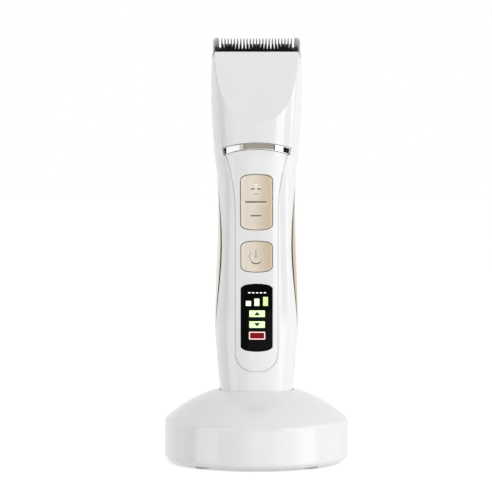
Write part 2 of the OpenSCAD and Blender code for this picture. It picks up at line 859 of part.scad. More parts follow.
module blade_carrier() {
    skin = comb_t + 0.02;
    color(white) difference() {
        union() {
            intersection() {
                loft(top_z - 45, top_z + 12, -0.1);
                at_blade() block(-far, far, -carrier_t, -skin, -carrier_end, -comb_tooth_len - 1);
            }
            intersection() {
                loft(top_z - 45, top_z + 12, -0.1);
                at_blade() block(-far, far, -skin - eps, -0.1, -carrier_end, -comb_len - 0.1);
            }
            // lip that slips behind the rear housing's edge
            intersection() {
                loft(top_z - 45, top_z + 12, -wall - 0.3);
                at_blade() block(-9, 9, -5.6, -1, -carrier_end - 3, -carrier_end + 2);
            }
        }
        at_blade() difference() {
            block(-far, far, pivot_y, 3, -carrier_end - 4, pivot_z);
            rod_x(pivot_y, pivot_z, pivot_r, -far, far);
        }
        facet_cut(0.1);
        // room for the moving blade, and its way through to the driver
        at_blade() block(-comb_w / 2 + 1.6, comb_w / 2 - 1.6, -far, -skin + eps, -16.8, 0);
        at_blade() block(-5.9, 5.9, -far, -skin - 1.4, -27, -16);
        // hollow underside, with the posts for the screws left standing
        for (x = [-1, 1]) at_blade()
            block(min(x * 6.9, x * 10.2), max(x * 6.9, x * 10.2), -far, -skin - 1.6, -27, -18.4);
        at_blade() block(-16, 16, -far, -skin - 1.8, -36, -33.6);
        for (x = [-1, 1]) at_blade() rod_y(x * 13, -21, screw_r, -carrier_t + 1, 1);
        // relief for the spring's bar
        at_blade() block(-9.5, 9.5, -far, -carrier_t + 0.01, -33, -16);
    }
}

module blade_screws() {
    color(steel) at_blade() for (x = [-1, 1]) difference() {
        union() {
            rod_y(x * 13, -21, screw_r - 0.02, -carrier_t + 1.3, -0.5);
            rod_y(x * 13, -21, 2.1, -0.58, -0.05);
        }
        block(x * 13 - 1.6, x * 13 + 1.6, -0.35, 1, -21.25, -20.75);
    }
}

module blade_spring() {
    y1 = -carrier_t - eps;
    reach = -comb_t - cutter_gap - cutter_t - 3.2 - 0.15;
    color(steel) at_blade() {
        block(-9, 9, y1 - 0.4, y1, -33, -29.6);
        for (x = [-1, 1]) {
            block(min(x * 7, x * 8.6), max(x * 7, x * 8.6), y1 - 0.4, y1, -30, -15);
            block(min(x * 7, x * 8.6), max(x * 7, x * 8.6), y1 - 0.4, reach, -15.2, -14.2);
        }
    }
}

// ---- dock --------------------------------------------------------------------

// half section of the dome and wall, set in by a thickness
function dock_section(inset, low) =
    let (fillet = 3.4, rim_x = dock_d / 2 - dock_rim_r, rim_z = dock_rim_z - dock_rim_r * cos(dome_steep),
        dome_x = rim_x + (dock_rim_r - dome_r) * sin(dome_steep), dome_z = dome_centre_z)
    concat(
        [[0, low]],
        [for (a = [270:15:360]) [dock_d / 2 - fillet + (fillet - inset) * cos(a),
            max(low, foot_h + fillet + (fillet - inset) * sin(a))]],
        [for (a = [0:(90 - dome_steep) / 4:90 - dome_steep])
            [rim_x + (dock_rim_r - inset) * cos(a), rim_z + (dock_rim_r - inset) * sin(a)]],
        [for (a = [dome_steep:-3:dome_flat])
            [dome_x + (dome_r - inset) * sin(a), dome_z + (dome_r - inset) * cos(a)]],
        [[0, dome_z + (dome_r - inset) * cos(dome_flat)]]);

module dock_post_ring() {
    for (a = [90, 210, 330]) rotate(a + 30) translate([dock_post_r, 0, 0]) children();
}

module dock_shell() {
    cup_low = seat_z - 2.4;
    color(white) difference() {
        union() {
            difference() {
                rotate_extrude($fn = 96) polygon(dock_section(0, foot_h));
                rotate_extrude($fn = 96) polygon(dock_section(dock_wall, 0));
                cylinder(r = dock_d / 2 - 3.2, h = 8);
            }
            loft(cup_low, dome_top - 1.4, socket_gap + 1.8);
            intersection() {
                rotate_extrude($fn = 96) polygon(dock_section(dock_wall - 0.2, foot_h + dock_base_t + 0.05));
                dock_post_ring() cylinder(r = 3.2, h = 40);
            }
        }
        loft(seat_z, dock_rim_z + 30, socket_gap);
        translate([0, 0, dock_rim_z + 18]) cylinder(r = 40, h = 30);
        for (x = [-1, 1]) translate([x * contact_x, 0, cup_low - 1]) cylinder(r = pin_r + 0.4, h = 6);
        dock_post_ring() translate([0, 0, -1]) cylinder(r = screw_r, h = 14);
        rod_y(0, inlet_z, inlet_r + 2.1, dock_d / 2 - 8, far);
    }
}

module dock_base() {
    color([0.80, 0.80, 0.79]) difference() {
        translate([0, 0, dock_base_z]) cylinder(r = dock_d / 2 - 3.4, h = dock_base_t);
        dock_post_ring() cylinder(r = screw_r + 0.2, h = 10);
        dock_post_ring() cylinder(r = screw_head_r + 0.2, h = dock_base_z + 1.4);
        for (a = [0:90:270]) rotate(a + 45) translate([36.5, 0, 0]) cylinder(r = 4.1, h = dock_base_z + 0.6);
    }
}

module dock_feet() {
    color([0.15, 0.15, 0.16]) for (a = [0:90:270]) rotate(a + 45) translate([36.5, 0, 0])
        cylinder(r = 4, h = dock_base_z + 0.58);
}

module dock_screws() {
    head_z = dock_base_z + 0.2;
    color(steel) dock_post_ring() difference() {
        union() {
            translate([0, 0, head_z]) cylinder(r = screw_head_r, h = 1.15);
            translate([0, 0, head_z + 1]) cylinder(r = screw_r - 0.02, h = 9);
        }
        translate([0, 0, head_z - 1]) cylinder(r = 0.8, h = 1.7);
    }
}

module ballast_ring() {
    low = dock_base_z + dock_base_t + eps;
    color(steel) difference() {
        translate([0, 0, low]) cylinder(r = ballast_r, h = ballast_h);
        translate([0, 0, low - 1]) cylinder(r = ballast_r - 5.5, h = ballast_h + 2);
    }
}

module dock_board() {
    low = dock_base_z + dock_base_t + eps;
    color(board_green) difference() {
        translate([0, 0, dock_board_z]) cylinder(r = 19, h = board_t);
        translate([0, 14, dock_board_z - 1]) cylinder(r = 1.6, h = 4);
    }
    color(white) for (a = [45:90:315]) rotate(a) translate([15, 0, low]) cylinder(r = 2, h = dock_board_z - low);
}

module contact_block() {
    low = dock_board_z + board_t + eps;
    top = seat_z - 2.4 - eps;
    color(dark) difference() {
        block(-9, 9, -4, 4, low, top);
        for (x = [-1, 1]) translate([x * contact_x, 0, 0]) {
            translate([0, 0, low - 1]) cylinder(r = pin_flange_r + 0.1, h = flange_z + 0.9 - low + 1);
            translate([0, 0, low]) cylinder(r = pin_r + running, h = 20);
        }
    }
}

module contact_pin(x) {
    color(brass) translate([x, 0, 0]) {
        translate([0, 0, flange_z]) cylinder(r = pin_flange_r, h = 0.85);
        translate([0, 0, flange_z + 0.5]) cylinder(r = pin_r, h = tail_z + 0.1 - eps * 5 - flange_z - 0.5);
    }
}

// round wire wound up the Z axis
module coil(r, wire, z0, z1, turns) {
    sides = 6;
    steps = 12;
    rings = turns * steps;
    points = [for (i = [0:rings]) for (j = [0:sides - 1])
        let (a = 360 * i / steps, b = 360 * j / sides, q = r + wire * cos(b))
        [q * cos(a), q * sin(a), z0 + wire + (z1 - z0 - 2 * wire) * i / rings + wire * sin(b)]];
    skin = [for (i = [0:rings - 1]) for (j = [0:sides - 1]) for (half = [0, 1])
        let (a = i * sides + j, b = i * sides + (j + 1) % sides)
        half == 0 ? [a, b, a + sides] : [b, b + sides, a + sides]];
    start = [for (j = [sides - 1:-1:0]) j];
    end = [for (j = [0:sides - 1]) rings * sides + j];
    polyhedron(points, concat([start, end], skin));
}

module contact_spring(x) {
    color(steel) translate([x, 0, 0]) coil(1.2, 0.15, spring_low, flange_z - 0.02, 5);
}

module contact_pin_left() contact_pin(-contact_x);
module contact_pin_right() contact_pin(contact_x);
module contact_spring_left() contact_spring(-contact_x);
module contact_spring_right() contact_spring(contact_x);

module power_inlet() {
    face = dock_d / 2;
    color(dark) difference() {
        union() {
            rod_y(0, inlet_z, inlet_r + 1.9, face - inlet_len - 1, face);
            block(-5, 5, face - inlet_len - 5, face - 5, inlet_z - 5.5, inlet_z + 5.5);
        }
        rod_y(0, inlet_z, inlet_r, face - inlet_len, face + 1);
    }
    color(steel) rod_y(0, inlet_z, 1, face - inlet_len - 1, face - 0.8);
}

module dock_leads() {
    z = dock_board_z + board_t + 0.65;
    back = dock_d / 2 - inlet_len - 5.7;
    color("firebrick") for (x = [-1, 1])
        lead([[x * 3, 13, z], [x * 3.4, back + 0.2, z + 3.2]]);
}

rear_housing();
front_panel();
head_cover();
chrome_band();
side_trim_left();
side_trim_right();
speed_rocker();
rocker_pin();
power_button();
display_window();
display_marks();
display_module();
main_board();
push_switches();
board_parts();
motor_can();
motor_magnets();
motor_rotor();
motor_bushes();
motor_end_cap();
motor_plate();
motor_screws();
motor_shaft();
eccentric();
battery_cell();
battery_tabs();
battery_cradle();
battery_leads();
motor_leads();
tail_insert();
charge_contacts();
housing_screws();
blade_carrier();
fixed_comb();
blade_screws();
blade_spring();
moving_blade();
blade_driver();
dock_shell();
dock_base();
dock_feet();
dock_screws();
ballast_ring();
dock_board();
contact_block();
contact_pin_left();
contact_pin_right();
contact_spring_left();
contact_spring_right();
power_inlet();
dock_leads();
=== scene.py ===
import math
import bpy
import bmesh
from mathutils import Matrix, Vector
from mathutils.bvhtree import BVHTree
from mathutils.interpolate import poly_3d_calc


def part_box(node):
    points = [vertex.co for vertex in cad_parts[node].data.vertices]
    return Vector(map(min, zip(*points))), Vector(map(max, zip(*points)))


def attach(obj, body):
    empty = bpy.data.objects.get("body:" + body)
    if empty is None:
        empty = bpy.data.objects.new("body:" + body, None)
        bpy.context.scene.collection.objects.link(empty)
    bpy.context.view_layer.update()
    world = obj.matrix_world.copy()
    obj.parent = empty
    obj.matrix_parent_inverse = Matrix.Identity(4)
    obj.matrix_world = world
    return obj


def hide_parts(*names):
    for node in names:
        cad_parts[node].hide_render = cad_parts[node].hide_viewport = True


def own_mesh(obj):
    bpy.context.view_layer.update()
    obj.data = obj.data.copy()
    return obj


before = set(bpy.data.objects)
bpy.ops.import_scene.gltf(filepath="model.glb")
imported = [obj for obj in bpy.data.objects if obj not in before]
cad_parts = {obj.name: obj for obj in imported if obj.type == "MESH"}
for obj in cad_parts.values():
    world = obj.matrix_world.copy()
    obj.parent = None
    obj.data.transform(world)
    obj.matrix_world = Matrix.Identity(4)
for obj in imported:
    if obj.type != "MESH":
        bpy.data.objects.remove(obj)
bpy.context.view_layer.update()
mm = 0.001
far = 60.0  # past every side of the clipper, where cutters start and end
seam = 0.15  # the gap between two casings
cornerSteps = 12  # steps round a quarter circle of an outline


def lowOf(node):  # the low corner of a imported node's box, in millimetres
    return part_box(node)[0] / mm


def highOf(node):
    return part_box(node)[1] / mm


def midZ(node):
    return (lowOf(node).z + highOf(node).z) / 2


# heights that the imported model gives, which every outline below is measured from
tailZ = lowOf("rear_housing").z
panelZ = lowOf("front_panel").z
bandZ = highOf("chrome_band").z - 1.75
topZ = highOf("fixed_comb").z - 7.0

clipperBody = dict(
    neck=36.3, palm=40.8, waist=38.0, shoulder=42.0, head=45.0, tip=43.0,
    palmDeep=38.6, waistDeep=36.0, shoulderDeep=38.0,
    squareness=2.4, wall=2.0, columns=176, rowStep=1.5,
    skinOver=6, hollowUnder=1, hollowOver=7)  # how far the skin and its hollow run past the casings' ends


def outlineStations():  # rows of height, half width, front depth and rear depth
    c = clipperBody
    neck, palmDeep = c["neck"] / 2, c["palmDeep"] / 2
    waist, waistDeep = c["waist"] / 2, c["waistDeep"] / 2
    deep = c["shoulderDeep"] / 2
    return [
        (tailZ, neck - 3.1, neck - 3.9, neck - 3.9),
        (tailZ + 2, neck - 1.5, neck - 2.3, neck - 2.3),
        (tailZ + 20, neck, neck - 0.8, neck - 0.8),
        (panelZ + 21, c["palm"] / 2, palmDeep, palmDeep),
        (bandZ - 36, waist, waistDeep, waistDeep),
        (bandZ - 16, waist + 0.3, waistDeep + 0.3, waistDeep + 0.3),
        (bandZ - 2, c["shoulder"] / 2, deep, deep),
        (topZ - 16.5, c["head"] / 2, deep - 0.6, deep - 3.2),
        (topZ + 12, c["tip"] / 2 - 0.2, deep - 2, deep - 7)]


stations = outlineStations()


def bodyAt(z):  # half width, front depth and rear depth at a height, eased through the stations
    last = len(stations) - 2
    i = next((k for k in range(last) if z < stations[k + 1][0]), last)
    width = stations[i + 1][0] - stations[i][0]
    t = (z - stations[i][0]) / width

    def slope(row, column):
        under, over = max(row - 1, 0), min(row + 1, len(stations) - 1)
        rise = stations[over][0] - stations[under][0]
        return (stations[over][column] - stations[under][column]) / rise

    return [
        (2 * t ** 3 - 3 * t * t + 1) * stations[i][column]
        + (t ** 3 - 2 * t * t + t) * width * slope(i, column)
        + (3 * t * t - 2 * t ** 3) * stations[i + 1][column]
        + (t ** 3 - t * t) * width * slope(i + 1, column)
        for column in (1, 2, 3)]


def skinPoint(z, angle, grow=0.0):  # angle 0 is +X, -90 degrees is the front
    half, front, rear = bodyAt(z)
    across, along = math.cos(angle), math.sin(angle)
    power = 2 / clipperBody["squareness"]
    depth = front if along < 0 else rear
    return Vector((
        (half + grow) * math.copysign(abs(across) ** power, across),
        (depth + grow) * math.copysign(abs(along) ** power, along), z))


def frontPoint(x, z, grow=0.0):  # the point of the front skin seen at x and z
    half, front, _ = bodyAt(z)
    n = clipperBody["squareness"]
    inside = max(0.0, 1 - (abs(x) / (half + grow)) ** n)
    return Vector((x, -(front + grow) * inside ** (1 / n), z))


def sidePoint(y, z, grow):  # the point of the side skin at y and z, on +X
    half, front, rear = bodyAt(z)
    n = clipperBody["squareness"]
    depth = front if y < 0 else rear
    inside = max(0.0, 1 - (abs(y) / (depth + grow)) ** n)
    return Vector(((half + grow) * inside ** (1 / n), y, z))


def rawObject(name, bm):  # an object whose mesh is still in millimetres
    mesh = bpy.data.meshes.new(name)
    bm.to_mesh(mesh)
    bm.free()
    piece = bpy.data.objects.new(name, mesh)
    bpy.context.scene.collection.objects.link(piece)
    return piece


def newObject(name, bm):
    bmesh.ops.scale(bm, vec=(mm, mm, mm), verts=bm.verts)
    return rawObject(name, bm)


def toMetres(piece):
    piece.data.transform(Matrix.Scale(mm, 4))


def copyOf(piece, name):
    twin = bpy.data.objects.new(name, piece.data.copy())
    bpy.context.scene.collection.objects.link(twin)
    return twin


def drop(*pieces):
    for piece in pieces:
        mesh = piece.data
        bpy.data.objects.remove(piece)
        if mesh.users == 0:
            bpy.data.meshes.remove(mesh)


def settle(piece):  # modifiers become plain mesh
    graph = bpy.context.evaluated_depsgraph_get()
    mesh = bpy.data.meshes.new_from_object(piece.evaluated_get(graph))
    old = piece.data
    piece.modifiers.clear()
    piece.data = mesh
    bpy.data.meshes.remove(old)


def carve(target, cutters, how="DIFFERENCE"):
    group = bpy.data.collections.new("cutters")
    for cutter in cutters:
        group.objects.link(cutter)
    cut = target.modifiers.new("carve", "BOOLEAN")
    cut.operation, cut.solver, cut.operand_type = how, "EXACT", "COLLECTION"
    cut.collection = group
    settle(target)
    bpy.data.collections.remove(group)
    drop(*cutters)
    return target


def gridSkin(columns, rows, place, closed=True):  # a grid laid on a surface
    bm = bmesh.new()
    bmesh.ops.create_grid(bm, x_segments=columns, y_segments=rows, size=0.5)
    for v in bm.verts:
        v.co = place(v.co.x + 0.5, v.co.y + 0.5)
    bmesh.ops.remove_doubles(bm, verts=bm.verts, dist=1e-4)
    if closed:
        bmesh.ops.holes_fill(bm, edges=[e for e in bm.edges if e.is_boundary], sides=0)
    bmesh.ops.recalc_face_normals(bm, faces=bm.faces)
    return bm


def bodySolid(low, high, grow=0.0):
    c = clipperBody
    rows = math.ceil((high - low) / c["rowStep"])
    return gridSkin(
        c["columns"], rows,
        lambda u, v: skinPoint(low + (high - low) * v, 2 * math.pi * u, grow))


def outlineSolid(points, near, deep, across=False):
    # a flat outline in X and Z pushed from near to deep along Y, or one in Y and Z pushed along X
    bm = bmesh.new()
    spots = [(near, a, b) if across else (a, near, b) for a, b in points]
    face = bm.faces.new([bm.verts.new(spot) for spot in spots])
    made = bmesh.ops.extrude_face_region(bm, geom=[face])
    away = (deep - near, 0, 0) if across else (0, deep - near, 0)
    pushed = [g for g in made["geom"] if isinstance(g, bmesh.types.BMVert)]
    bmesh.ops.translate(bm, vec=away, verts=pushed)
    bmesh.ops.recalc_face_normals(bm, faces=bm.faces)
    return bm


def throughCut(points, near, deep, across=False):
    return rawObject("cut", outlineSolid(points, near, deep, across))


def rodObject(start, along, radius, length, sides=40):
    axis = Vector(along)
    turn = axis.to_track_quat("Z", "Y").to_matrix().to_4x4()
    place = Matrix.Translation(Vector(start) + axis * length / 2) @ turn
    bm = bmesh.new()
    bmesh.ops.create_cone(
        bm, cap_ends=True, segments=sides, radius1=radius, radius2=radius, depth=length, matrix=place)
    return rawObject("rod", bm)


def softenRim(bm, reach, width, segments):  # rounds the edges that lie in front of reach
    rim = [e for e in bm.edges if all(v.co.y < reach for v in e.verts)]
    bmesh.ops.bevel(
        bm, geom=rim, offset=width, segments=segments, profile=0.5, affect="EDGES", material=-1)


def smoothSides(piece, angle=30.0):  # smooth shading up to an angle, in degrees
    mesh = piece.data
    mesh.polygons.foreach_set("use_smooth", [True] * len(mesh.polygons))
    mesh.set_sharp_from_angle(angle=math.radians(angle))


def weighNormals(piece, angle=35.0):
    smoothSides(piece, angle)
    weigh = piece.modifiers.new("weigh", "WEIGHTED_NORMAL")
    weigh.mode, weigh.weight, weigh.keep_sharp = "FACE_AREA", 100, True
    settle(piece)


def surfaceTree(bm):  # the bmesh comes along, because its faces are read later
    bm.normal_update()
    bm.faces.ensure_lookup_table()
    return BVHTree.FromBMesh(bm), list(bm.faces), bm


def keepNormals(piece, sources, reach=0.02, match=0.8):
    # where a cut piece still lies on a smooth source, it keeps that source's shading
    smoothSides(piece)
    mesh = piece.data
    corners = [Vector(n.vector) for n in mesh.corner_normals]
    found = {}
    for p in mesh.polygons:
        for loop in p.loop_indices:
            vertex = mesh.loops[loop].vertex_index
            key = (vertex, *[round(part, 1) for part in p.normal])
            if key not in found:
                found[key], best = None, match
                for tree, faces, _ in sources:
                    spot, normal, index, gap = tree.find_nearest(mesh.vertices[vertex].co / mm)
                    if gap is None or gap > reach or abs(normal.dot(p.normal)) < best:
                        continue
                    best, face = abs(normal.dot(p.normal)), faces[index]
                    shares = poly_3d_calc([v.co for v in face.verts], spot)
                    smooth = sum((v.normal * w for v, w in zip(face.verts, shares)), Vector())
                    found[key] = (smooth if normal.dot(p.normal) > 0 else -smooth).normalized()
            if found[key] is not None:
                corners[loop] = found[key]
    mesh.normals_split_custom_set(corners)


def enter(piece, body, slot, material, *nodes):
    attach(piece, body)
    if nodes:
        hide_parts(*nodes)
    piece.data.materials.clear()
    piece.data.materials.append(material)
    return piece


def skinCap(outline, proud, depth, edge=0.0, columnStep=0.7, rowStep=2.5):
    # a plate whose front follows the clipper's front skin, standing proud of it
    bm = outlineSolid(outline, 0, depth)
    if edge:
        softenRim(bm, 1e-6, edge, 4)
    for axis, gap in ((0, columnStep), (2, rowStep)):
        low, high = min(v.co[axis] for v in bm.verts), max(v.co[axis] for v in bm.verts)
        count = max(1, round((high - low) / gap))
        for k in range(1, count):
            at, normal = Vector(), Vector()
            at[axis], normal[axis] = low + (high - low) * k / count, 1
            bmesh.ops.bisect_plane(
                bm, geom=bm.verts[:] + bm.edges[:] + bm.faces[:], plane_co=at, plane_no=normal, dist=1e-5)
    for v in bm.verts:
        v.co.y += frontPoint(v.co.x, v.co.z, proud).y
    bmesh.ops.recalc_face_normals(bm, faces=bm.faces)
    return bm


def capPiece(name, outline, form, *entry):
    piece = newObject(name, skinCap(outline, form["proud"], form["depth"], form["edge"]))
    weighNormals(piece)
    return enter(piece, *entry)


# the casings' outlines: heights are measured from the band, the head's top or the panel's foot
# openTo is how deep a casing's opening in the rear housing goes, keepTo how deep the casing itself goes
frontPanel = dict(
    width=20.8, topWidth=31.4, corner=9.0, flareFrom=32, flareOver=30, flareCurve=1.9, openTo=-2, keepTo=-4)
chromeBand = dict(
    height=3.5, radius=53.0, half=16.4, slant=1.2, slantFrom=8, slantOver=6,
    proud=0.25, depth=1.6, edge=0.3, gap=0.2, openTo=-5)
headCover = dict(
    startHalf=16.7, endHalf=20.6, flareCurve=0.8, past=8, gap=0.04, openTo=1, keepTo=0,
    facetLow=(-19.05, 11.0), facetHigh=(-8.3, 0.2), facetSag=1.05, facetHalf=30, facetPast=9.0,
    facetColumns=12, facetRows=60)
# the last four keys shape the black strip under the trim's edge, painted shade in its seam
sideTrim = dict(
    half=40.25, bulge=8.5, y=-2.0, margin=1.35, thickness=1.1, roundness=0.3, columns=64, rows=90,
    gapShadeMargin=0.05, gapShadeTop=-0.12, gapShadeLow=-1.6, gapShadeRoundness=0.25)
trimMid = (panelZ + bandZ) / 2


def panelHalf(z):
    c = frontPanel
    t = max(0.0, z - (bandZ - c["flareFrom"])) / c["flareOver"]
    half = c["width"] / 2
    return half + (c["topWidth"] / 2 - half) * t ** c["flareCurve"]


def coverHalf(z):
    c = headCover
    t = max(0.0, z - bandZ) / (topZ - bandZ)
    return c["startHalf"] + (c["endHalf"] - c["startHalf"]) * t ** c["flareCurve"]


def bandHalf(z):
    c = chromeBand
    return c["half"] - c["slant"] + (z - bandZ + c["slantFrom"]) * c["slant"] / c["slantOver"]


def archZ(x, offset):  # the band's arch, offset up or down
    r = chromeBand["radius"]
    return bandZ - r + math.sqrt((r + offset) ** 2 - x * x)


def meetArch(halfAt, grow, offset):  # where a side line meets the arch
    z = bandZ
    for _ in range(12):  # each round comes closer
        z = archZ(halfAt(z) + grow, offset)
    return halfAt(z) + grow, z


def archPoints(half, offset, steps=40):  # from right to left
    xs = [half * (1 - 2 * k / steps) for k in range(steps + 1)]
    return [(x, archZ(x, offset)) for x in xs]


def mirrored(right):
    return [(-x, z) for x, z in reversed(right)]


def panelOutline(grow=0.0):
    corner, half = frontPanel["corner"], frontPanel["width"] / 2
    turns = [math.radians(90 * k / cornerSteps - 90) for k in range(cornerSteps + 1)]
    right = [(half - corner + grow + corner * math.cos(a), panelZ + corner - grow + corner * math.sin(a))
             for a in turns]
    offset = grow - chromeBand["height"] / 2
    x, end = meetArch(panelHalf, grow, offset)
    start = panelZ + corner
    heights = [start + (end - start) * k / 40 for k in range(1, 40)]
    right += [(panelHalf(z) + grow, z) for z in heights]
    return right + archPoints(x, offset) + mirrored(right)


def bandOutline(grow=0.0):
    offset = chromeBand["height"] / 2 + grow
    lowX, _ = meetArch(bandHalf, grow, -offset)
    highX, _ = meetArch(bandHalf, grow, offset)
    return archPoints(highX, offset) + list(reversed(archPoints(lowX, -offset)))


def coverOutline(grow=0.0):
    offset = chromeBand["height"] / 2 - grow
    x, start = meetArch(coverHalf, grow, offset)
    end = topZ + headCover["past"]
    heights = [start + (end - start) * k / 24 for k in range(1, 25)]
    right = [(coverHalf(z) + grow, z) for z in heights]
    return right + mirrored(right) + list(reversed(archPoints(x, offset)))


def trimReach(z, grow=0.0):  # half width of the side trim's leaf shape
    c = sideTrim
    r = (c["half"] ** 2 + c["bulge"] ** 2) / (2 * c["bulge"])
    reach = math.sqrt(max(0.0, (r + grow) ** 2 - (z - trimMid) ** 2)) - (r - c["bulge"])
    return max(0.0, reach)


def trimOutline(grow=0.0, steps=60):
    tip = sideTrim["half"] + grow
    heights = [trimMid - tip * math.cos(math.pi * k / steps) for k in range(steps + 1)]
    front = [(sideTrim["y"] - trimReach(z, grow), z) for z in heights]
    rear = [(sideTrim["y"] + trimReach(z, grow), z) for z in reversed(heights[1:-1])]
    return front + rear


def facetArc(depth=0.0, steps=64):  # the head's hollow front, seen from the side
    c = headCover
    low = Vector((c["facetLow"][0], bandZ + c["facetLow"][1]))
    high = Vector((c["facetHigh"][0], topZ + c["facetHigh"][1]))
    chord = high - low
    unit = chord.normalized()
    out = Vector((-unit.y, unit.x))
    r = ((chord.length / 2) ** 2 + c["facetSag"] ** 2) / (2 * c["facetSag"])
    centre = (low + high) / 2 + out * (r - c["facetSag"])
    reach = (chord.length / 2 + c["facetPast"]) / r
    turns = [reach * (2 * k / steps - 1) for k in range(steps + 1)]
    return [tuple(centre + (r + depth) * (unit * math.sin(a) - out * math.cos(a))) for a in turns]


def facetSlab(depth=0.0):  # all that lies before the hollow front
    arc, half = facetArc(depth), headCover["facetHalf"]
    return throughCut(arc + [(-far, arc[-1][1]), (-far, arc[0][1])], -half, half, across=True)


def facetSkin():
    c = headCover
    arc = facetArc(steps=c["facetRows"])
    return gridSkin(
        c["facetColumns"], c["facetRows"],
        lambda u, v: Vector((c["facetHalf"] * (2 * u - 1), *arc[round(c["facetRows"] * v)])), closed=False)


bladeSet = dict(y=-4.5, rise=7.0, lean=35.0, thickness=7.0, end=38.0, underGap=0.2, endGap=0.3)
bladePlace = (Matrix.Translation((0, bladeSet["y"], topZ + bladeSet["rise"]))
              @ Matrix.Rotation(math.radians(bladeSet["lean"]), 4, "X"))


def bladeBlock(low, high):  # a block in the blade set's own frame, which leans
    low, high = Vector(low), Vector(high)
    shape = bladePlace @ Matrix.Translation((low + high) / 2) @ Matrix.Diagonal((*(high - low), 1))
    bm = bmesh.new()
    bmesh.ops.create_cube(bm, size=1, matrix=shape)
    return bm


def bladeSide():  # everything on the blade set's side of its seat
    c = bladeSet
    low = (-far, -c["thickness"] - c["underGap"], -c["end"] - c["endGap"])
    return rawObject("bladeBlock", bladeBlock(low, (far, far, far)))


def bowedRect(width, height, corner, bow, centreZ=0.0):  # a rounded rectangle whose two ends bow outwards
    half, tall = width / 2, height / 2
    arch = (width * width / 4 + bow * bow) / (2 * bow)
    quarter = []
    for k in range(cornerSteps + 1):
        x = (half - corner) * k / cornerSteps
        quarter.append((x, tall - arch + math.sqrt(arch ** 2 - x * x)))
    for k in range(1, cornerSteps + 1):
        a = math.radians(90 - 90 * k / cornerSteps)
        x = half - corner + corner * math.cos(a)
        bowed = math.sqrt(max(0.0, arch ** 2 - x * x)) - arch
        quarter.append((x, tall - corner + (corner + bowed) * math.sin(a)))
    quarter += [(half, (tall - corner) * (1 - k / 8)) for k in range(1, 9)]
    top = mirrored(quarter[1:-1]) + quarter  # from the left side over the top
    return [(x, z + centreZ) for x, z in top + [(-x, -z) for x, z in top]]


def formOutline(form, grow=0.0):
    width, height = form["width"] + 2 * grow, form["height"] + 2 * grow
    return bowedRect(width, height, form["corner"] + grow * 0.6, form["bow"], form["z"])


print("finishes")


def hexColour(text):
    parts = [int(text[i:i + 2], 16) / 255 for i in (1, 3, 5)]
    return (*[p / 12.92 if p <= 0.04045 else ((p + 0.055) / 1.055) ** 2.4 for p in parts], 1.0)  # to linear


def perMetre(size):  # the pattern scale that gives a feature of this size in millimetres
    return 1000 / size


def addNode(tree, kind, inputs=None, **settings):
    node = tree.nodes.new("ShaderNode" + kind)
    for key, value in settings.items():
        setattr(node, key, value)
    for key, value in (inputs or {}).items():
        if isinstance(value, bpy.types.NodeSocket):
            tree.links.new(value, node.inputs[key])
        else:
            node.inputs[key].default_value = value
    return node


def startMaterial(name):
    material = bpy.data.materials.new(name)
    material.use_nodes = True
    tree = material.node_tree
    return material, tree, tree.nodes["Principled BSDF"], addNode(tree, "TexCoord").outputs["Object"]


def finishSurface(tree, shader, colour, sheen, height, relief, strength=1.0, **settings):
    # colour is (share, base, shade), sheen is (share, low, high), relief is a bump's height in millimetres
    mix = addNode(
        tree, "Mix", {0: colour[0], 6: hexColour(colour[1]), 7: hexColour(colour[2])}, data_type="RGBA")
    tree.links.new(mix.outputs[2], shader.inputs["Base Color"])
    tree.links.new(sheen, shader.inputs["Roughness"])
    bump = addNode(tree, "Bump", {"Height": height, "Distance": relief * mm, "Strength": strength})
    tree.links.new(bump.outputs["Normal"], shader.inputs["Normal"])
    for key, value in settings.items():
        shader.inputs[key].default_value = value


noiseSpan = {"From Min": 0.3, "From Max": 0.7}  # where most of a noise lies


def mouldedPlastic(name, base, shade, rough, roughSpread, peel, relief, specular=0.5, ior=1.53,
                   driftSize=14.0, wipeSize=6.0):
    # injection moulded: an even colour, a slow tone drift, and the fine waviness of the mould's polish
    material, tree, shader, place = startMaterial(name)
    drift = addNode(tree, "TexNoise", {"Vector": place, "Scale": perMetre(driftSize), "Detail": 2.0})
    wipe = addNode(tree, "TexNoise", {
        "Vector": place, "Scale": perMetre(wipeSize), "Detail": 5.0, "Roughness": 0.6})
    sheen = addNode(tree, "MapRange", {
        "Value": wipe.outputs["Fac"], **noiseSpan,
        "To Min": rough - roughSpread, "To Max": rough + roughSpread})
    grain = addNode(tree, "TexNoise", {"Vector": place, "Scale": perMetre(peel), "Detail": 3.0})
    finishSurface(tree, shader, (drift.outputs["Fac"], base, shade), sheen.outputs["Result"],
                  grain.outputs["Fac"], relief, **{"Specular IOR Level": specular, "IOR": ior})
    return material


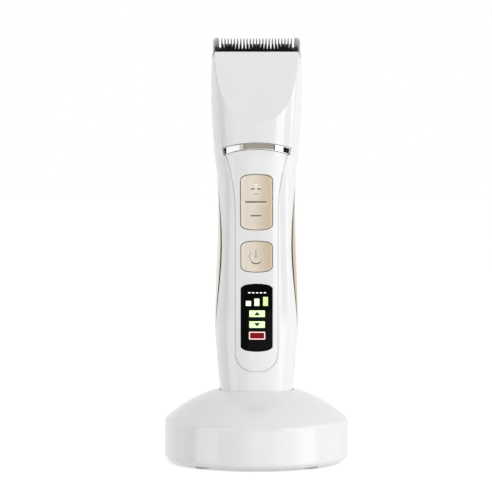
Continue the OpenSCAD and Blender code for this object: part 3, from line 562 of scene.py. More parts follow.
def shadedFlakeLacquer(name, base, deep, rough, metallic, flake, turn=(-4.0, 9.0)):
    # satin lacquer with pearl flake: facets differ in tone and gloss; painted shade darkens the colour
    # towards deep on the +X side, over the span turn gives in millimetres
    material, tree, shader, place = startMaterial(name)
    cells = addNode(tree, "TexVoronoi", {"Vector": place, "Scale": perMetre(flake)})
    tint = addNode(tree, "SeparateColor", {"Color": cells.outputs["Color"]})
    side = addNode(tree, "SeparateXYZ", {"Vector": place})
    # painted shade: the colour turns towards deep as Object X rises through turn, darker on the +X side
    shift = addNode(tree, "MapRange", {
        "Value": side.outputs["X"], "From Min": turn[0] * mm, "From Max": turn[1] * mm,
        "To Min": 0.0, "To Max": 0.85}, interpolation_type="SMOOTHSTEP")
    share = addNode(tree, "MapRange", {"Value": tint.outputs["Red"], "To Min": 0.0, "To Max": 0.15})
    flakeAndShade = addNode(tree, "Math", {0: shift.outputs["Result"], 1: share.outputs["Result"]}, operation="ADD")
    sheen = addNode(tree, "MapRange", {
        "Value": tint.outputs["Green"], "To Min": rough - 0.04, "To Max": rough + 0.06})
    finishSurface(tree, shader, (flakeAndShade.outputs["Value"], base, deep), sheen.outputs["Result"],
                  tint.outputs["Blue"], 0.004, strength=0.6,
                  **{"Metallic": metallic, "Coat Weight": 0.25, "Coat Roughness": 0.12})
    return material


def platedMetal(name, base, shade, rough, roughSpread, wave, relief):
    # electroplated or turned metal: clean reflections with slow ripples and slightly duller patches
    material, tree, shader, place = startMaterial(name)
    patches = addNode(tree, "TexNoise", {"Vector": place, "Scale": perMetre(wave), "Detail": 4.0})
    sheen = addNode(tree, "MapRange", {
        "Value": patches.outputs["Fac"], **noiseSpan,
        "To Min": rough - roughSpread, "To Max": rough + roughSpread})
    finishSurface(tree, shader, (patches.outputs["Fac"], base, shade), sheen.outputs["Result"],
                  patches.outputs["Fac"], relief, **{"Metallic": 1.0})
    return material


def groundSurface(name, base, shade, rough, line, relief, metallic=1.0):
    # surface ground: fine parallel scratches along X, each a little brighter or duller than the next
    material, tree, shader, place = startMaterial(name)
    stretch = addNode(tree, "Mapping", {"Vector": place, "Scale": (0.04, 1.0, 1.0)})
    lines = addNode(tree, "TexNoise", {
        "Vector": stretch.outputs["Vector"], "Scale": perMetre(line), "Detail": 6.0})
    sheen = addNode(tree, "MapRange", {
        "Value": lines.outputs["Fac"], **noiseSpan,
        "To Min": rough - 0.08, "To Max": rough + 0.12})
    finishSurface(tree, shader, (lines.outputs["Fac"], base, shade), sheen.outputs["Result"],
                  lines.outputs["Fac"], relief, **{"Metallic": metallic})
    return material


def litFilm(name, colour, glow, dots=0.9):
    # printed film with a lamp behind it: the colour is nearly even, a little weaker towards the dots' edges
    material, tree, shader, place = startMaterial(name)
    cells = addNode(tree, "TexVoronoi", {"Vector": place, "Scale": perMetre(dots)})
    level = addNode(tree, "MapRange", {
        "Value": cells.outputs["Distance"], "From Max": 0.7, "To Min": 1.0, "To Max": 0.86})
    tone = addNode(tree, "Mix", {
        0: level.outputs["Result"], 6: (0, 0, 0, 1), 7: hexColour(colour)}, data_type="RGBA")
    tree.links.new(tone.outputs[2], shader.inputs["Emission Color"])
    shader.inputs["Base Color"].default_value = hexColour(colour)
    shader.inputs["Emission Strength"].default_value = glow
    shader.inputs["Roughness"].default_value = 0.4
    shader.inputs["Specular IOR Level"].default_value = 0.1
    return material


# each call gives two colours, roughness, its spread, the pattern's size and its height in millimetres
# ABS straight from a polished mould: bright gloss, hardly any texture
whiteAbs = mouldedPlastic("whiteMouldedAbs", "#F5F5F5", "#F1F1F1", 0.13, 0.04, 3.0, 0.0015, specular=0.7)
# the same ABS from a spark-eroded mould: fine, dull grain
paleTexturedAbs = mouldedPlastic("paleTexturedAbs", "#DADAD8", "#D2D2D0", 0.55, 0.05, 0.5, 0.02)
# metal flake lacquer on plastic: warm beige with a soft shine, and its deeper beige is also painted shade on
# the +X side
champagne = shadedFlakeLacquer("champagneLacquerPaintedShade", "#FBF1E3", "#C8B598", 0.36, 0.45, 0.35)
# bright chrome plating on plastic: mirror with slow ripples
chrome = platedMetal("brightChromePlate", "#E4E4E2", "#DCDCDA", 0.05, 0.02, 9.0, 0.004)
# cast acrylic, back-printed black: deep gloss with faint wipe marks, and coated against reflections
blackLens = mouldedPlastic(
    "blackAcrylicLens", "#020303", "#030404", 0.06, 0.03, 6.0, 0.001, specular=0.07, ior=1.49)
# dull black strip under each side trim's edge: painted shade in the seam round the trim
gapShadeBlack = mouldedPlastic(
    "blackPaintedGapShade", "#0B0B0C", "#101011", 0.6, 0.08, 0.6, 0.01, specular=0.3, ior=1.43)
# legend marks on the buttons: a flat brown-grey that is painted shadow of the embossed legends and the
# rocker's groove, over a paler one that is painted highlight on the embossing's bright edges
legendShadeInk = mouldedPlastic("brownPaintedLegendShade", "#85735A", "#75654E", 0.5, 0.06, 0.8, 0.004)
legendHighlightInk = mouldedPlastic("palePaintedLegendHighlight", "#FFFAF1", "#FAF3E8", 0.45, 0.06, 0.8, 0.004)
# printed polyester film with a lamp behind it: even, flat colour that glows a little
paleFilm = litFilm("paleLitFilm", "#E9EFE3", 0.75)
mintFilm = litFilm("mintLitFilm", "#D3E3C8", 0.7)
limeFilm = litFilm("limeLitFilm", "#C3D792", 0.7)
signalFilm = litFilm("greenLitFilm", "#CFEFB4", 0.75)
redFilm = litFilm("redLitFilm", "#6E0A12", 0.6)
roseFilm = litFilm("roseLitFilm", "#F2C9CB", 0.7)
darkFilm = litFilm("darkPrintedFilm", "#1E3A12", 0.15)
# glass filled nylon, moulded: dark, faint grain
darkNylon = mouldedPlastic("darkGlassFilledNylon", "#191A1C", "#232426", 0.5, 0.1, 0.7, 0.012)
# unfilled nylon, moulded: even and half dull, in grey and in blue
greyNylon = mouldedPlastic("greyMouldedNylon", "#45474B", "#3B3D41", 0.5, 0.08, 0.8, 0.01)
blueNylon = mouldedPlastic("blueMouldedNylon", "#3E62A3", "#365791", 0.45, 0.06, 0.9, 0.006)
# compression moulded silicone: matte and slightly dusty
footRubber = mouldedPlastic("paleMouldedSilicone", "#CFCFCE", "#C6C6C5", 0.7, 0.1, 0.8, 0.02, specular=0.3)
# glass epoxy board under solder mask: green, half gloss, faintly woven
solderMask = mouldedPlastic("greenSolderMask", "#175234", "#1D6140", 0.35, 0.1, 1.2, 0.01)
# heat-shrunk sleeve over the cell's steel can: blue, glossy, a little uneven
cellSleeve = mouldedPlastic("blueShrinkSleeve", "#2A548F", "#234A80", 0.3, 0.08, 2.2, 0.01)
# silicone-insulated lead: soft, slightly dusty
leadSleeve = mouldedPlastic("redSiliconeLead", "#8E1B18", "#7B1613", 0.5, 0.1, 0.9, 0.008)
# pressed ferrite magnet: near black and chalky
ferrite = mouldedPlastic("pressedFerrite", "#2E2E30", "#3A3A3C", 0.7, 0.1, 0.6, 0.02)
# stainless strip, surface ground: fine lines across the blade
groundStainless = groundSurface("groundStainless", "#E4E5E7", "#CDCFD2", 0.34, 0.25, 0.003, metallic=0.8)
# blasted steel strip: pale and dull, a painted highlight that draws the bright line along the ceramic
# blade's step
highlightStrip = groundSurface("paleHighlightStrip", "#EDEDED", "#D2D2D3", 0.55, 0.25, 0.003, metallic=0.3)
# black zirconia ceramic, lapped: dark, half gloss
blackCeramic = groundSurface("lappedBlackCeramic", "#15161A", "#22242A", 0.32, 0.3, 0.002, metallic=0.15)
# drawn spring wire, lightly nickel plated: warm grey, soft highlights
springSteel = platedMetal("nickelSpringWire", "#CFCBC2", "#B9B5AC", 0.28, 0.06, 0.5, 0.002)
# steel with bright zinc plating: cool grey, clouded
zincSteel = platedMetal("zincPlatedSteel", "#C2C5C9", "#AEB0B2", 0.32, 0.08, 2.0, 0.004)
# sintered bronze bearing: oily brown, open grain
oilBronze = platedMetal("sinteredBronze", "#B08A4E", "#94713C", 0.42, 0.1, 0.8, 0.01)
# gold plating on contacts: clean and bright
goldPlate = platedMetal("goldPlatedContact", "#D9B25E", "#C69C49", 0.22, 0.06, 1.5, 0.003)
# enamelled copper winding: red-brown, ridged by the turns
enamelCopper = platedMetal("enamelledCopper", "#B0693A", "#8E4E27", 0.36, 0.1, 0.7, 0.02)

nodeFinish = {
    whiteAbs: ["blade_carrier"], paleTexturedAbs: ["dock_base"], footRubber: ["dock_feet"],
    greyNylon: ["motor_plate", "battery_cradle"], blueNylon: ["blade_driver"],
    darkNylon: ["display_module", "push_switches", "board_parts", "motor_end_cap", "tail_insert",
                "contact_block", "power_inlet"],
    solderMask: ["main_board", "dock_board"], cellSleeve: ["battery_cell"],
    leadSleeve: ["battery_leads", "motor_leads", "dock_leads"],
    ferrite: ["motor_magnets"], enamelCopper: ["motor_rotor"], oilBronze: ["motor_bushes"],
    zincSteel: ["motor_can", "motor_screws", "housing_screws", "dock_screws", "rocker_pin", "motor_shaft",
                "eccentric", "ballast_ring", "blade_screws", "battery_tabs"],
    goldPlate: ["charge_contacts", "contact_pin_left", "contact_pin_right"],
    groundStainless: ["fixed_comb"], springSteel: ["blade_spring"]}
for finish, names in nodeFinish.items():
    for name in names:
        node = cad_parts[name]
        node.data.materials.clear()
        node.data.materials.append(finish)


print("casings")
skin = bodySolid(tailZ, topZ + clipperBody["skinOver"])
skinSource = surfaceTree(skin)
facetSource = surfaceTree(facetSkin())
shell = rawObject("shell", skin.copy())
carve(shell, [facetSlab()])
hollow = rawObject("hollow", bodySolid(
    tailZ - clipperBody["hollowUnder"], topZ + clipperBody["hollowOver"], -clipperBody["wall"]))
carve(hollow, [facetSlab(clipperBody["wall"])])
carve(shell, [hollow])

screwPosts = dict(
    radius=3.0, start=1.0, longReach=15.0, shortReach=9.5,
    head=2.1, headGap=0.3, headStart=8.5, holeReach=30)


def screwSpots():  # one low in the middle, two high at the sides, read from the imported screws
    low, high, head = lowOf("housing_screws"), highOf("housing_screws"), screwPosts["head"]
    return [(0.0, low.z + head), (high.x - head, high.z - head), (head - high.x, high.z - head)]


def screwRods(start, radius, lengths):
    spots = zip(screwSpots(), lengths)
    return [rodObject((x, start, z), (0, 1, 0), radius, length) for (x, z), length in spots]


def screwBosses():
    c = screwPosts
    return screwRods(c["start"], c["radius"], (c["longReach"], c["shortReach"], c["shortReach"]))


def screwHoles():
    c = screwPosts
    return screwRods(c["headStart"], c["head"] + c["headGap"], (c["holeReach"],) * 3)


rearHousing = copyOf(shell, "rearHousing")
carve(rearHousing, screwBosses(), "UNION")
carve(rearHousing, screwHoles() + [
    throughCut(panelOutline(seam), -far, frontPanel["openTo"]),
    throughCut(bandOutline(seam), -far, chromeBand["openTo"]),
    throughCut(coverOutline(headCover["gap"]), -far, headCover["openTo"]),
    throughCut(trimOutline(seam), -far, far, across=True),
    bladeSide()])

rockerForm = dict(width=15.4, height=26.9, corner=2.7, bow=1.1, proud=0.5, depth=2.6, edge=0.45, gap=0.3)
powerForm = dict(width=15.1, height=14.9, corner=2.7, bow=1.0, proud=0.5, depth=2.6, edge=0.45, gap=0.3)
lensForm = dict(width=15.5, height=33.1, corner=2.4, bow=1.3, proud=0.15, depth=1.7, edge=0.35, gap=0.1)
rockerForm["z"] = midZ("speed_rocker")
powerForm["z"] = midZ("power_button")
lensForm["z"] = midZ("display_window")

frontPlate = copyOf(shell, "frontPanel")
carve(frontPlate, [throughCut(panelOutline(), -far, frontPanel["keepTo"])], "INTERSECT")
carve(frontPlate, [throughCut(formOutline(form, form["gap"]), -far, 0)
                   for form in (rockerForm, powerForm, lensForm)])
cover = copyOf(shell, "headCover")
carve(cover, [throughCut(coverOutline(), -far, headCover["keepTo"])], "INTERSECT")
carve(cover, [bladeSide()])
drop(shell)

for piece, node in ((rearHousing, "rear_housing"), (frontPlate, "front_panel"), (cover, "head_cover")):
    toMetres(piece)
    keepNormals(piece, [skinSource, facetSource])
    enter(piece, "clipper", "white_casing", whiteAbs, node)
capPiece("chromeBand", bandOutline(-chromeBand["gap"]), chromeBand,
         "clipper", "chrome", chrome, "chrome_band")


print("buttons")
# the lacquer's painted shade leaves the buttons' +X side darker
capPiece("speedRocker", formOutline(rockerForm), rockerForm,
         "rocker", "champagne", champagne, "speed_rocker")
capPiece("powerButton", formOutline(powerForm), powerForm,
         "power_key", "champagne", champagne, "power_button")
capPiece("displayWindow", formOutline(lensForm), lensForm,
         "clipper", "black_lens", blackLens, "display_window")


print("side trims")


def sideStrip(side, margin, top, bottom, roundness):  # a leaf between two depths under the side skin
    tip = sideTrim["half"] - margin * 2
    middle, half = (top + bottom) / 2, (top - bottom) / 2

    def place(u, v):
        a = 2 * math.pi * u
        z = trimMid - tip * math.cos(math.pi * v)
        across = math.copysign(abs(math.cos(a)) ** roundness, math.cos(a))
        outwards = math.copysign(abs(math.sin(a)) ** roundness, math.sin(a))
        p = sidePoint(sideTrim["y"] + across * trimReach(z, -margin), z, middle + outwards * half)
        return Vector((side * p.x, p.y, p.z))

    return gridSkin(sideTrim["columns"], sideTrim["rows"], place)


def addTrims():
    c = sideTrim
    for side, label in ((-1, "Left"), (1, "Right")):
        # the lacquer's painted shade leaves the right trim darker than the left
        strip = newObject("sideTrim" + label, sideStrip(
            side, c["margin"], 0.0, -c["thickness"], c["roundness"]))
        smoothSides(strip, 50)
        enter(strip, "clipper", "champagne", champagne, "side_trim_" + label.lower())
        # a black strip under the trim's edge: painted shade in its seam
        gapShade = newObject("trimGapShade" + label, sideStrip(
            side, c["gapShadeMargin"], c["gapShadeTop"], c["gapShadeLow"], c["gapShadeRoundness"]))
        smoothSides(gapShade, 50)
        enter(gapShade, "clipper", "dark_plastic", gapShadeBlack)


addTrims()


print("dock")
dockForm = dict(
    diameter=91.0, rimZ=22.0, domeR=64.0, steep=42.0, rim=3.0, fillet=3.4, columns=192, socketRows=9,
    socketGap=0.25, seatGap=0.1, socketHigh=20, lip=0.8, lipSpread=1.3, baseInset=3.2, baseZ=8.0,
    pinInset=1.6, pinHole=1.4, inletHole=4.95, inletFrom=38)
seatZ = tailZ - dockForm["seatGap"]
footZ = lowOf("dock_shell").z


def dockProfile(hole):  # radius and height from the lip of the socket, whose radius is given, out and down
    d = dockForm
    r, steep, rim = d["diameter"] / 2, math.radians(d["steep"]), d["rim"]
    meetR = r - rim * (1 - math.sin(steep))  # where the dome meets the rounded rim
    domeX, domeZ = meetR - d["domeR"] * math.sin(steep), d["rimZ"] - d["domeR"] * math.cos(steep)
    rimX, rimZ = meetR - rim * math.sin(steep), d["rimZ"] - rim * math.cos(steep)

    def domeAt(radius):
        return domeZ + math.sqrt(d["domeR"] ** 2 - (radius - domeX) ** 2)

    lipZ, outR = domeAt(hole), hole + d["lip"] * d["lipSpread"]
    outZ = domeAt(outR)
    profile = []
    for t in [k / 8 for k in range(9)]:  # the soft lip
        low, mid, high = (1 - t) ** 2, 2 * t * (1 - t), t * t
        radius = low * hole + mid * hole + high * outR
        profile.append((radius, low * (lipZ - d["lip"]) + mid * lipZ + high * outZ))
    for radius in [outR + (meetR - outR) * k / 40 for k in range(1, 41)]:  # the dome
        profile.append((radius, domeAt(radius)))
    for a in [steep + (math.pi / 2 - steep) * k / 8 for k in range(1, 9)]:  # the rim
        profile.append((rimX + rim * math.sin(a), rimZ + rim * math.cos(a)))
    wallLow = footZ + d["fillet"]
    for k in range(1, 11):  # the wall
        profile.append((r, rimZ + (wallLow - rimZ) * k / 10))
    for a in [math.pi / 2 * k / 9 for k in range(1, 10)]:  # the fillet at the foot
        profile.append((r - d["fillet"] * (1 - math.cos(a)), wallLow - d["fillet"] * math.sin(a)))
    return profile


def dockSkin():
    d = dockForm
    inset = d["diameter"] / 2 - d["baseInset"]
    underside = [(inset, footZ), (inset, footZ + 1), (inset, d["baseZ"])]
    underside += [(radius, d["baseZ"]) for radius in (inset - 6, inset - 20, 4, 0)]
    wallRows = 1 + d["socketRows"]
    rows = wallRows + len(dockProfile(inset / 2)) + len(underside) - 1

    def place(u, v):
        angle = 2 * math.pi * u
        row = round(v * rows)
        if row <= 1:  # the socket's floor
            p = skinPoint(seatZ, angle, d["socketGap"]) * row
            return Vector((p.x, p.y, seatZ))
        rim = skinPoint(seatZ + d["socketHigh"], angle, d["socketGap"])
        turn = math.atan2(rim.y, rim.x)
        profile = dockProfile(math.hypot(rim.x, rim.y))
        if row <= wallRows:  # the socket's wall
            z = seatZ + (profile[0][1] - seatZ) * (row - 1) / d["socketRows"]
            p = skinPoint(z, angle, d["socketGap"])
            return Vector((p.x, p.y, z))
        radius, z = (profile + underside)[row - wallRows]
        return Vector((radius * math.cos(turn), radius * math.sin(turn), z))

    return gridSkin(d["columns"], rows, place, closed=False)


def addDock():
    d = dockForm
    skin = dockSkin()
    source = surfaceTree(skin)
    dock = rawObject("dockShell", skin.copy())
    pinX = highOf("contact_pin_right").x - d["pinInset"]
    cuts = [rodObject((side * pinX, 0, d["baseZ"] + 1), (0, 0, 1), d["pinHole"], 20) for side in (-1, 1)]
    cuts.append(rodObject((0, d["inletFrom"], midZ("power_inlet")), (0, 1, 0), d["inletHole"], 20))
    carve(dock, cuts)
    toMetres(dock)
    keepNormals(dock, [source])
    enter(dock, "dock", "white_casing", whiteAbs, "dock_shell")


addDock()


print("moving blade")
ceramicBlade = dict(
    teeth=20, pitch=1.75, rootWide=1.42, tipWide=0.72, tip=-2.8, root=-5.6, heel=-15.0, half=17.85,
    step=17.5, wide=20.5, wideTop=-4.9, wideLow=-8.7, front=-3.25, thickness=2.0, slope=14.0, edge=0.09)
bladeRib = dict(z=-7.35, high=0.5, proud=0.14, sunk=0.4, inset=0.6, edge=0.1)


def ceramicOutline():
    c = ceramicBlade
    teeth = []
    for i in range(c["teeth"]):
        x = (i - (c["teeth"] - 1) / 2) * c["pitch"]
        teeth += [(x - c["rootWide"] / 2, c["root"]), (x - c["tipWide"] / 2, c["tip"]),
                  (x + c["tipWide"] / 2, c["tip"]), (x + c["rootWide"] / 2, c["root"])]
    right = [(c["step"], c["root"]), (c["step"], c["wideTop"]), (c["wide"], c["wideTop"]),
             (c["wide"], c["wideLow"]), (c["half"], c["wideLow"]), (c["half"], c["heel"])]
    return mirrored(right) + teeth + right


def addCeramic():
    c = ceramicBlade
    bm = outlineSolid(ceramicOutline(), c["front"], c["front"] + c["thickness"])
    for v in bm.verts:  # the front of the teeth slopes back to a thin tip
        if v.co.y < c["front"] + 0.1 and v.co.z > c["root"] + 0.1:
            v.co.y += (v.co.z - c["root"]) * math.tan(math.radians(c["slope"]))
    softenRim(bm, c["front"] + c["thickness"] / 2, c["edge"], 2)
    bmesh.ops.transform(bm, matrix=bladePlace, verts=bm.verts)
    bmesh.ops.recalc_face_normals(bm, faces=bm.faces)
    piece = newObject("ceramicBlade", bm)
    smoothSides(piece, 25)
    enter(piece, "cutter", "black_ceramic", blackCeramic, "moving_blade")


def addRib():
    # a thin real rib across the blade, coloured pale as a painted highlight of the blade's step
    c = bladeRib
    half = ceramicBlade["half"] - c["inset"]
    bm = bladeBlock((-half, ceramicBlade["front"] - c["proud"], c["z"] - c["high"] / 2),
                    (half, ceramicBlade["front"] + c["sunk"], c["z"] + c["high"] / 2))
    softenRim(bm, far, c["edge"], 2)
    piece = newObject("bladeRib", bm)
    smoothSides(piece, 25)
    enter(piece, "cutter", "blade_steel", highlightStrip)


addCeramic()
addRib()


print("contact springs")


def addSpring(label):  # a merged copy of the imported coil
    name, joint = "contact_spring_" + label, "contact_press_" + label
    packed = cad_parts[name]
    coil = copyOf(packed, "contactSpring" + label.title())
    coil.data.transform(packed.matrix_world)
    whole = bmesh.new()
    whole.from_mesh(coil.data)
    bmesh.ops.remove_doubles(whole, verts=whole.verts, dist=1e-7)
    whole.to_mesh(coil.data)
    whole.free()
    smoothSides(coil, 60)
    enter(coil, "dock", "blade_steel", springSteel, name)
    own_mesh(coil)


for label in ("left", "right"):
    addSpring(label)


print("legends")
markForm = dict(lift=0.03, inkLift=0.05, thickness=0.12)  # how high the pale painted highlight and the dark painted shadow stand on a button
# bars: centre x, centre z, width, height and corner; rings: centre z, line width, start, end and steps
# relief holds pale marks, painted highlight on the embossed legends' edges; ink holds dark marks, painted
# shadow of the embossed legends and of the rocker's middle groove
rockerMarks = dict(
    x=-0.35,
    relief=((0, 135.4, 1.0, 5.4, 0.4), (0, 135.52, 5.4, 1.1, 0.4), (0, 128.28, 10.6, 0.3, 0.14),
            (0, 121.58, 5.4, 0.3, 0.14)),
    ink=((-1.539, 135.2, 2.106, 0.62, 0.25), (1.539, 135.2, 2.106, 0.62, 0.25),
         (0.1, 132.8, 1.2, 0.45, 0.2), (0, 138.1, 0.7, 0.3, 0.14),
         (0, 128.8, 10.6, 0.8, 0.35), (0, 122.1, 5.4, 0.7, 0.3)))
powerMarks = dict(
    x=-0.35, radius=3.1,
    reliefRings=((102.2, 0.93, 122, 418, 60),), relief=((0, 103.8, 0.9, 3.6, 0.4),),
    inkRings=((101.95, 0.682, 224, 316, 40), (102.2, 0.31, 128, 224, 40), (102.2, 0.31, 316, 412, 40)),
    ink=((0, 104.0, 0.45, 3.0, 0.2), (0, 102.2, 0.75, 0.6, 0.25)))


def layMarks(name, outlines, proud, thickness, *entry):
    # flat marks laid over a curved front, each a thin plate that follows it
    bm = bmesh.new()
    for outline in outlines:
        plate = skinCap(outline, proud, thickness)
        mesh = bpy.data.meshes.new("plate")
        plate.to_mesh(mesh)
        plate.free()
        bm.from_mesh(mesh)
        bpy.data.meshes.remove(mesh)
    piece = newObject(name, bm)
    smoothSides(piece)
    return enter(piece, *entry)


def softBar(x, z, width, height, corner, steps=5):
    points = []
    for sideX, sideZ, start in ((1, 1, 0), (-1, 1, 90), (-1, -1, 180), (1, -1, 270)):
        for a in [math.radians(start + 90 / steps * k) for k in range(steps + 1)]:
            points.append((x + sideX * (width / 2 - corner) + corner * math.cos(a),
                           z + sideZ * (height / 2 - corner) + corner * math.sin(a)))
    return points


def ringBand(x, z, radius, line, start, end, steps):
    turns = [math.radians(start + (end - start) * k / steps) for k in range(steps + 1)]
    outside, inside = radius + line / 2, radius - line / 2
    return ([(x + outside * math.cos(a), z + outside * math.sin(a)) for a in turns]
            + [(x + inside * math.cos(a), z + inside * math.sin(a)) for a in reversed(turns)])


def addButtonMarks(prefix, marks, form, body):
    x = marks["x"]
    # pale plates are painted highlight, dark plates painted shadow
    for kind, label, lift, finish in (("relief", "LegendHighlight", markForm["lift"], legendHighlightInk),
                                      ("ink", "LegendShade", markForm["inkLift"], legendShadeInk)):
        outlines = [ringBand(x, z, marks["radius"], *ring) for z, *ring in marks.get(kind + "Rings", ())]
        outlines += [softBar(x + shift, *bar) for shift, *bar in marks[kind]]
        layMarks(prefix + label, outlines, form["proud"] + lift, markForm["thickness"],
                 body, "champagne", finish)


addButtonMarks("rocker", rockerMarks, rockerForm, "rocker")
addButtonMarks("power", powerMarks, powerForm, "power_key")

screen = dict(
    x=0.2, lift=0.02, overLift=0.04, thickness=0.08,
    headZ=84.6, dashes=5, dashPitch=1.9, dashWide=1.15, dashHigh=0.55, dashCorner=0.2,
    barZ=78.2, bars=((-4.2, 2.4, 2.5), (-0.1, 3.6, 2.5), (4.1, 4.4, 2.4)),  # x, height and width
    upZ=74.4, downZ=69.1, boxWide=7.6, boxHigh=3.2, boxCorner=0.25,
    arrowHalf=1.5, arrowFoot=0.8, arrowTip=1.0, arrowThickness=0.06,
    redZ=63.7, redWide=7.9, redHigh=3.8, redCorner=0.3, redRim=0.5, redInnerCorner=0.2)


def layFilm(name, outlines, finish, *nodes, lift=screen["lift"], thickness=screen["thickness"]):
    layMarks(name, outlines, lensForm["proud"] + lift, thickness, "clipper", "lit_marks", finish, *nodes)


def addScreen():
    c = screen
    x, middle = c["x"], (c["dashes"] - 1) / 2
    dashes = [x + c["dashPitch"] * (i - middle) for i in range(c["dashes"])]
    layFilm("displayHeading", [softBar(at, c["headZ"], c["dashWide"], c["dashHigh"], c["dashCorner"])
                               for at in dashes], paleFilm, "display_marks")
    for i, finish in enumerate((paleFilm, mintFilm, limeFilm)):
        shift, high, wide = c["bars"][i]
        left, right = x + shift - wide / 2, x + shift + wide / 2
        low, top = c["barZ"], c["barZ"] + high
        layFilm("displayBar" + str(i + 1), [[(left, low), (right, low), (right, top), (left, top)]], finish)
    layFilm("displayBoxes", [softBar(x, z, c["boxWide"], c["boxHigh"], c["boxCorner"])
                             for z in (c["upZ"], c["downZ"])], signalFilm)
    layFilm("displayArrows", [
        [(x - c["arrowHalf"], z - c["arrowFoot"] * way), (x + c["arrowHalf"], z - c["arrowFoot"] * way),
         (x, z + c["arrowTip"] * way)] for z, way in ((c["upZ"], 1), (c["downZ"], -1))],
            darkFilm, lift=c["overLift"], thickness=c["arrowThickness"])
    layFilm("displayAlarmRim", [softBar(x, c["redZ"], c["redWide"], c["redHigh"], c["redCorner"])],
            roseFilm)
    wide, high = c["redWide"] - 2 * c["redRim"], c["redHigh"] - 2 * c["redRim"]
    layFilm("displayAlarm", [softBar(x, c["redZ"], wide, high, c["redInnerCorner"])],
            redFilm, lift=c["overLift"])


addScreen()


print("stage")
# the camera stands a little below the blade's height and looks a little down, 1.2 m away
view = dict(x=-5.2, z=157.0, distance=1200.0, width=243.05, axisZ=106.6, sensor=36, reach=30)
room = dict(floorSize=12000, floorTone="#F2F2F2", floorGlow=0.50, side=0.91, overhead=0.42, seen=1.0)
# cards round the axis, which only the gloss mirrors: azimuth 0 is the camera's side, positive to the right
# name, azimuth, spread, low, high, radius and strength, with a tone where it isn't white
cards = (
    # at the clipper's height: beige cards ahead, bright boxes beside, black flags past them
    ("frontCardLeft", -24, 10, 40, 620, 900, 0.85, "#F6F3EC"),
    ("frontCard", 5.5, 49, 40, 620, 900, 0.56, "#E9E5D4"),
    ("rightLine", 31.5, 3, 40, 620, 900, 0.02),
    ("rightBox", 45, 24, 40, 620, 900, 2.3, "#FFFEFA"),
    ("rightSide", 76, 38, 40, 620, 900, 2.6),
    ("rightFlag", 73, 29, 20, 230, 880, 0.02),
    ("leftLine", -18.6, 1.6, 40, 620, 890, 0.05),
    ("leftBox", -51, 44, 40, 620, 900, 1.25),
    ("leftSide", -85, 23, 40, 620, 900, 0.8),
    ("leftFlag", -85, 23, 20, 230, 880, 0.02),
    # lower down, where the dock's wall looks
    ("lowFarLeft", -112.5, 25, -700, 40, 900, 0.7),
    ("lowShadeLeft", -89.5, 21, -700, 40, 900, 0.3),
    ("lowBoxLeft", -63, 32, -700, 40, 900, 1.6),
    ("lowShade", -29.5, 35, -700, 40, 900, 0.6),
    ("lowFront", 5, 34, -700, 40, 900, 1.3),
    ("lowFrontRight", 37, 30, -700, 40, 900, 1.6),
    ("lowBoxRight", 64, 24, -700, 40, 900, 2.5),
    ("lowFarRight", 100.5, 49, -700, 40, 900, 1.2),
    # above both, for whatever leans back
    ("topCard", 0, 170, 620, 2600, 890, 0.5, "#F0F0F2"))
lampForm = dict(size=0.5, aim=(0, 0, 0.1))  # in metres
lamps = (("keyRight", (1.15, -0.85, 0.45), 7.0), ("sideLeft", (-1.3, -0.4, 0.5), 2.0))  # place and power


def addFloor():
    c = room
    size = c["floorSize"]
    piece = newObject("floor", gridSkin(
        8, 8, lambda u, v: Vector((size * (u - 0.5), size * (v - 0.5), 0)), closed=False))
    material, tree, shader, _ = startMaterial("paleFloor")
    # to the camera the floor glows up to the backdrop's white, and its diffuse share keeps the shadow
    shader.inputs["Base Color"].default_value = hexColour(c["floorTone"])
    shader.inputs["Roughness"].default_value = 0.8
    shader.inputs["Specular IOR Level"].default_value = 0.0
    path = addNode(tree, "LightPath")
    glow = addNode(tree, "Math", {
        0: path.outputs["Is Camera Ray"], 1: c["floorGlow"]}, operation="MULTIPLY")
    tree.links.new(glow.outputs["Value"], shader.inputs["Emission Strength"])
    shader.inputs["Emission Color"].default_value = (1, 1, 1, 1)
    piece.data.materials.append(material)
    piece.visible_glossy = False


def glowMaterial(name, strength, tone):
    material = bpy.data.materials.new(name)
    material.use_nodes = True
    tree = material.node_tree
    glow = addNode(tree, "Emission", {"Color": hexColour(tone), "Strength": strength})
    tree.links.new(glow.outputs["Emission"], tree.nodes["Material Output"].inputs["Surface"])
    return material


def addCard(name, azimuth, spread, low, high, radius, strength, tone="#FFFFFF"):
    def place(u, v):
        a = math.radians(azimuth + (u - 0.5) * spread)
        return Vector((radius * math.sin(a), -radius * math.cos(a), low + (high - low) * v))

    piece = newObject(name, gridSkin(24, 2, place, closed=False))
    piece.data.materials.append(glowMaterial(name, strength, tone))
    piece.visible_camera = piece.visible_diffuse = piece.visible_shadow = False


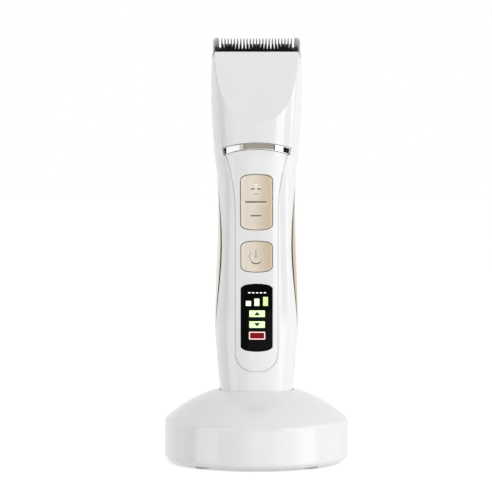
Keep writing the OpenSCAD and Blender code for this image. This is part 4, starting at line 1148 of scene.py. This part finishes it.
def aimAt(holder, aim):
    holder.rotation_euler = (Vector(aim) - holder.location).to_track_quat("-Z", "Y").to_euler()
    bpy.context.scene.collection.objects.link(holder)


def addLamp(name, spot, power):
    light = bpy.data.lights.new(name, "AREA")
    light.shape, light.size, light.energy = "DISK", lampForm["size"], power
    holder = bpy.data.objects.new(name, light)
    holder.location = spot
    aimAt(holder, lampForm["aim"])
    holder.visible_glossy = False


def addCamera():
    c = view
    camera = bpy.data.cameras.new("camera")
    camera.sensor_width = c["sensor"]
    camera.lens = camera.sensor_width * c["distance"] / c["width"]
    camera.clip_end = c["reach"]
    eye = bpy.data.objects.new("camera", camera)
    eye.location = Vector((c["x"], -c["distance"], c["z"])) * mm
    aimAt(eye, Vector((c["x"], 0, c["axisZ"])) * mm)
    bpy.context.scene.camera = eye


def addWorld():
    # white where it is looked at or mirrored; where it lights, stronger near the horizon than overhead
    c = room
    world = bpy.data.worlds.new("studio")
    bpy.context.scene.world = world
    world.use_nodes = True
    tree = world.node_tree
    path = addNode(tree, "LightPath")
    seen = addNode(tree, "Math", {
        0: path.outputs["Is Camera Ray"], 1: path.outputs["Is Glossy Ray"]}, operation="MAXIMUM")
    through = addNode(tree, "Math", {
        0: seen.outputs["Value"], 1: path.outputs["Is Transmission Ray"]}, operation="MAXIMUM")
    up = addNode(tree, "SeparateXYZ", {"Vector": addNode(tree, "TexCoord").outputs["Generated"]})
    fill = addNode(tree, "MapRange", {
        "Value": up.outputs["Z"], "From Min": 0.1, "From Max": 0.9,
        "To Min": c["side"], "To Max": c["overhead"]})
    level = addNode(tree, "MapRange", {
        "Value": through.outputs["Value"], "To Min": fill.outputs["Result"], "To Max": c["seen"]})
    tree.links.new(level.outputs["Result"], tree.nodes["Background"].inputs["Strength"])
    tree.nodes["Background"].inputs["Color"].default_value = (1, 1, 1, 1)


addFloor()
for card in cards:
    addCard(*card)
for lamp in lamps:
    addLamp(*lamp)
addCamera()
addWorld()
bpy.context.scene.view_settings.view_transform = "Standard"
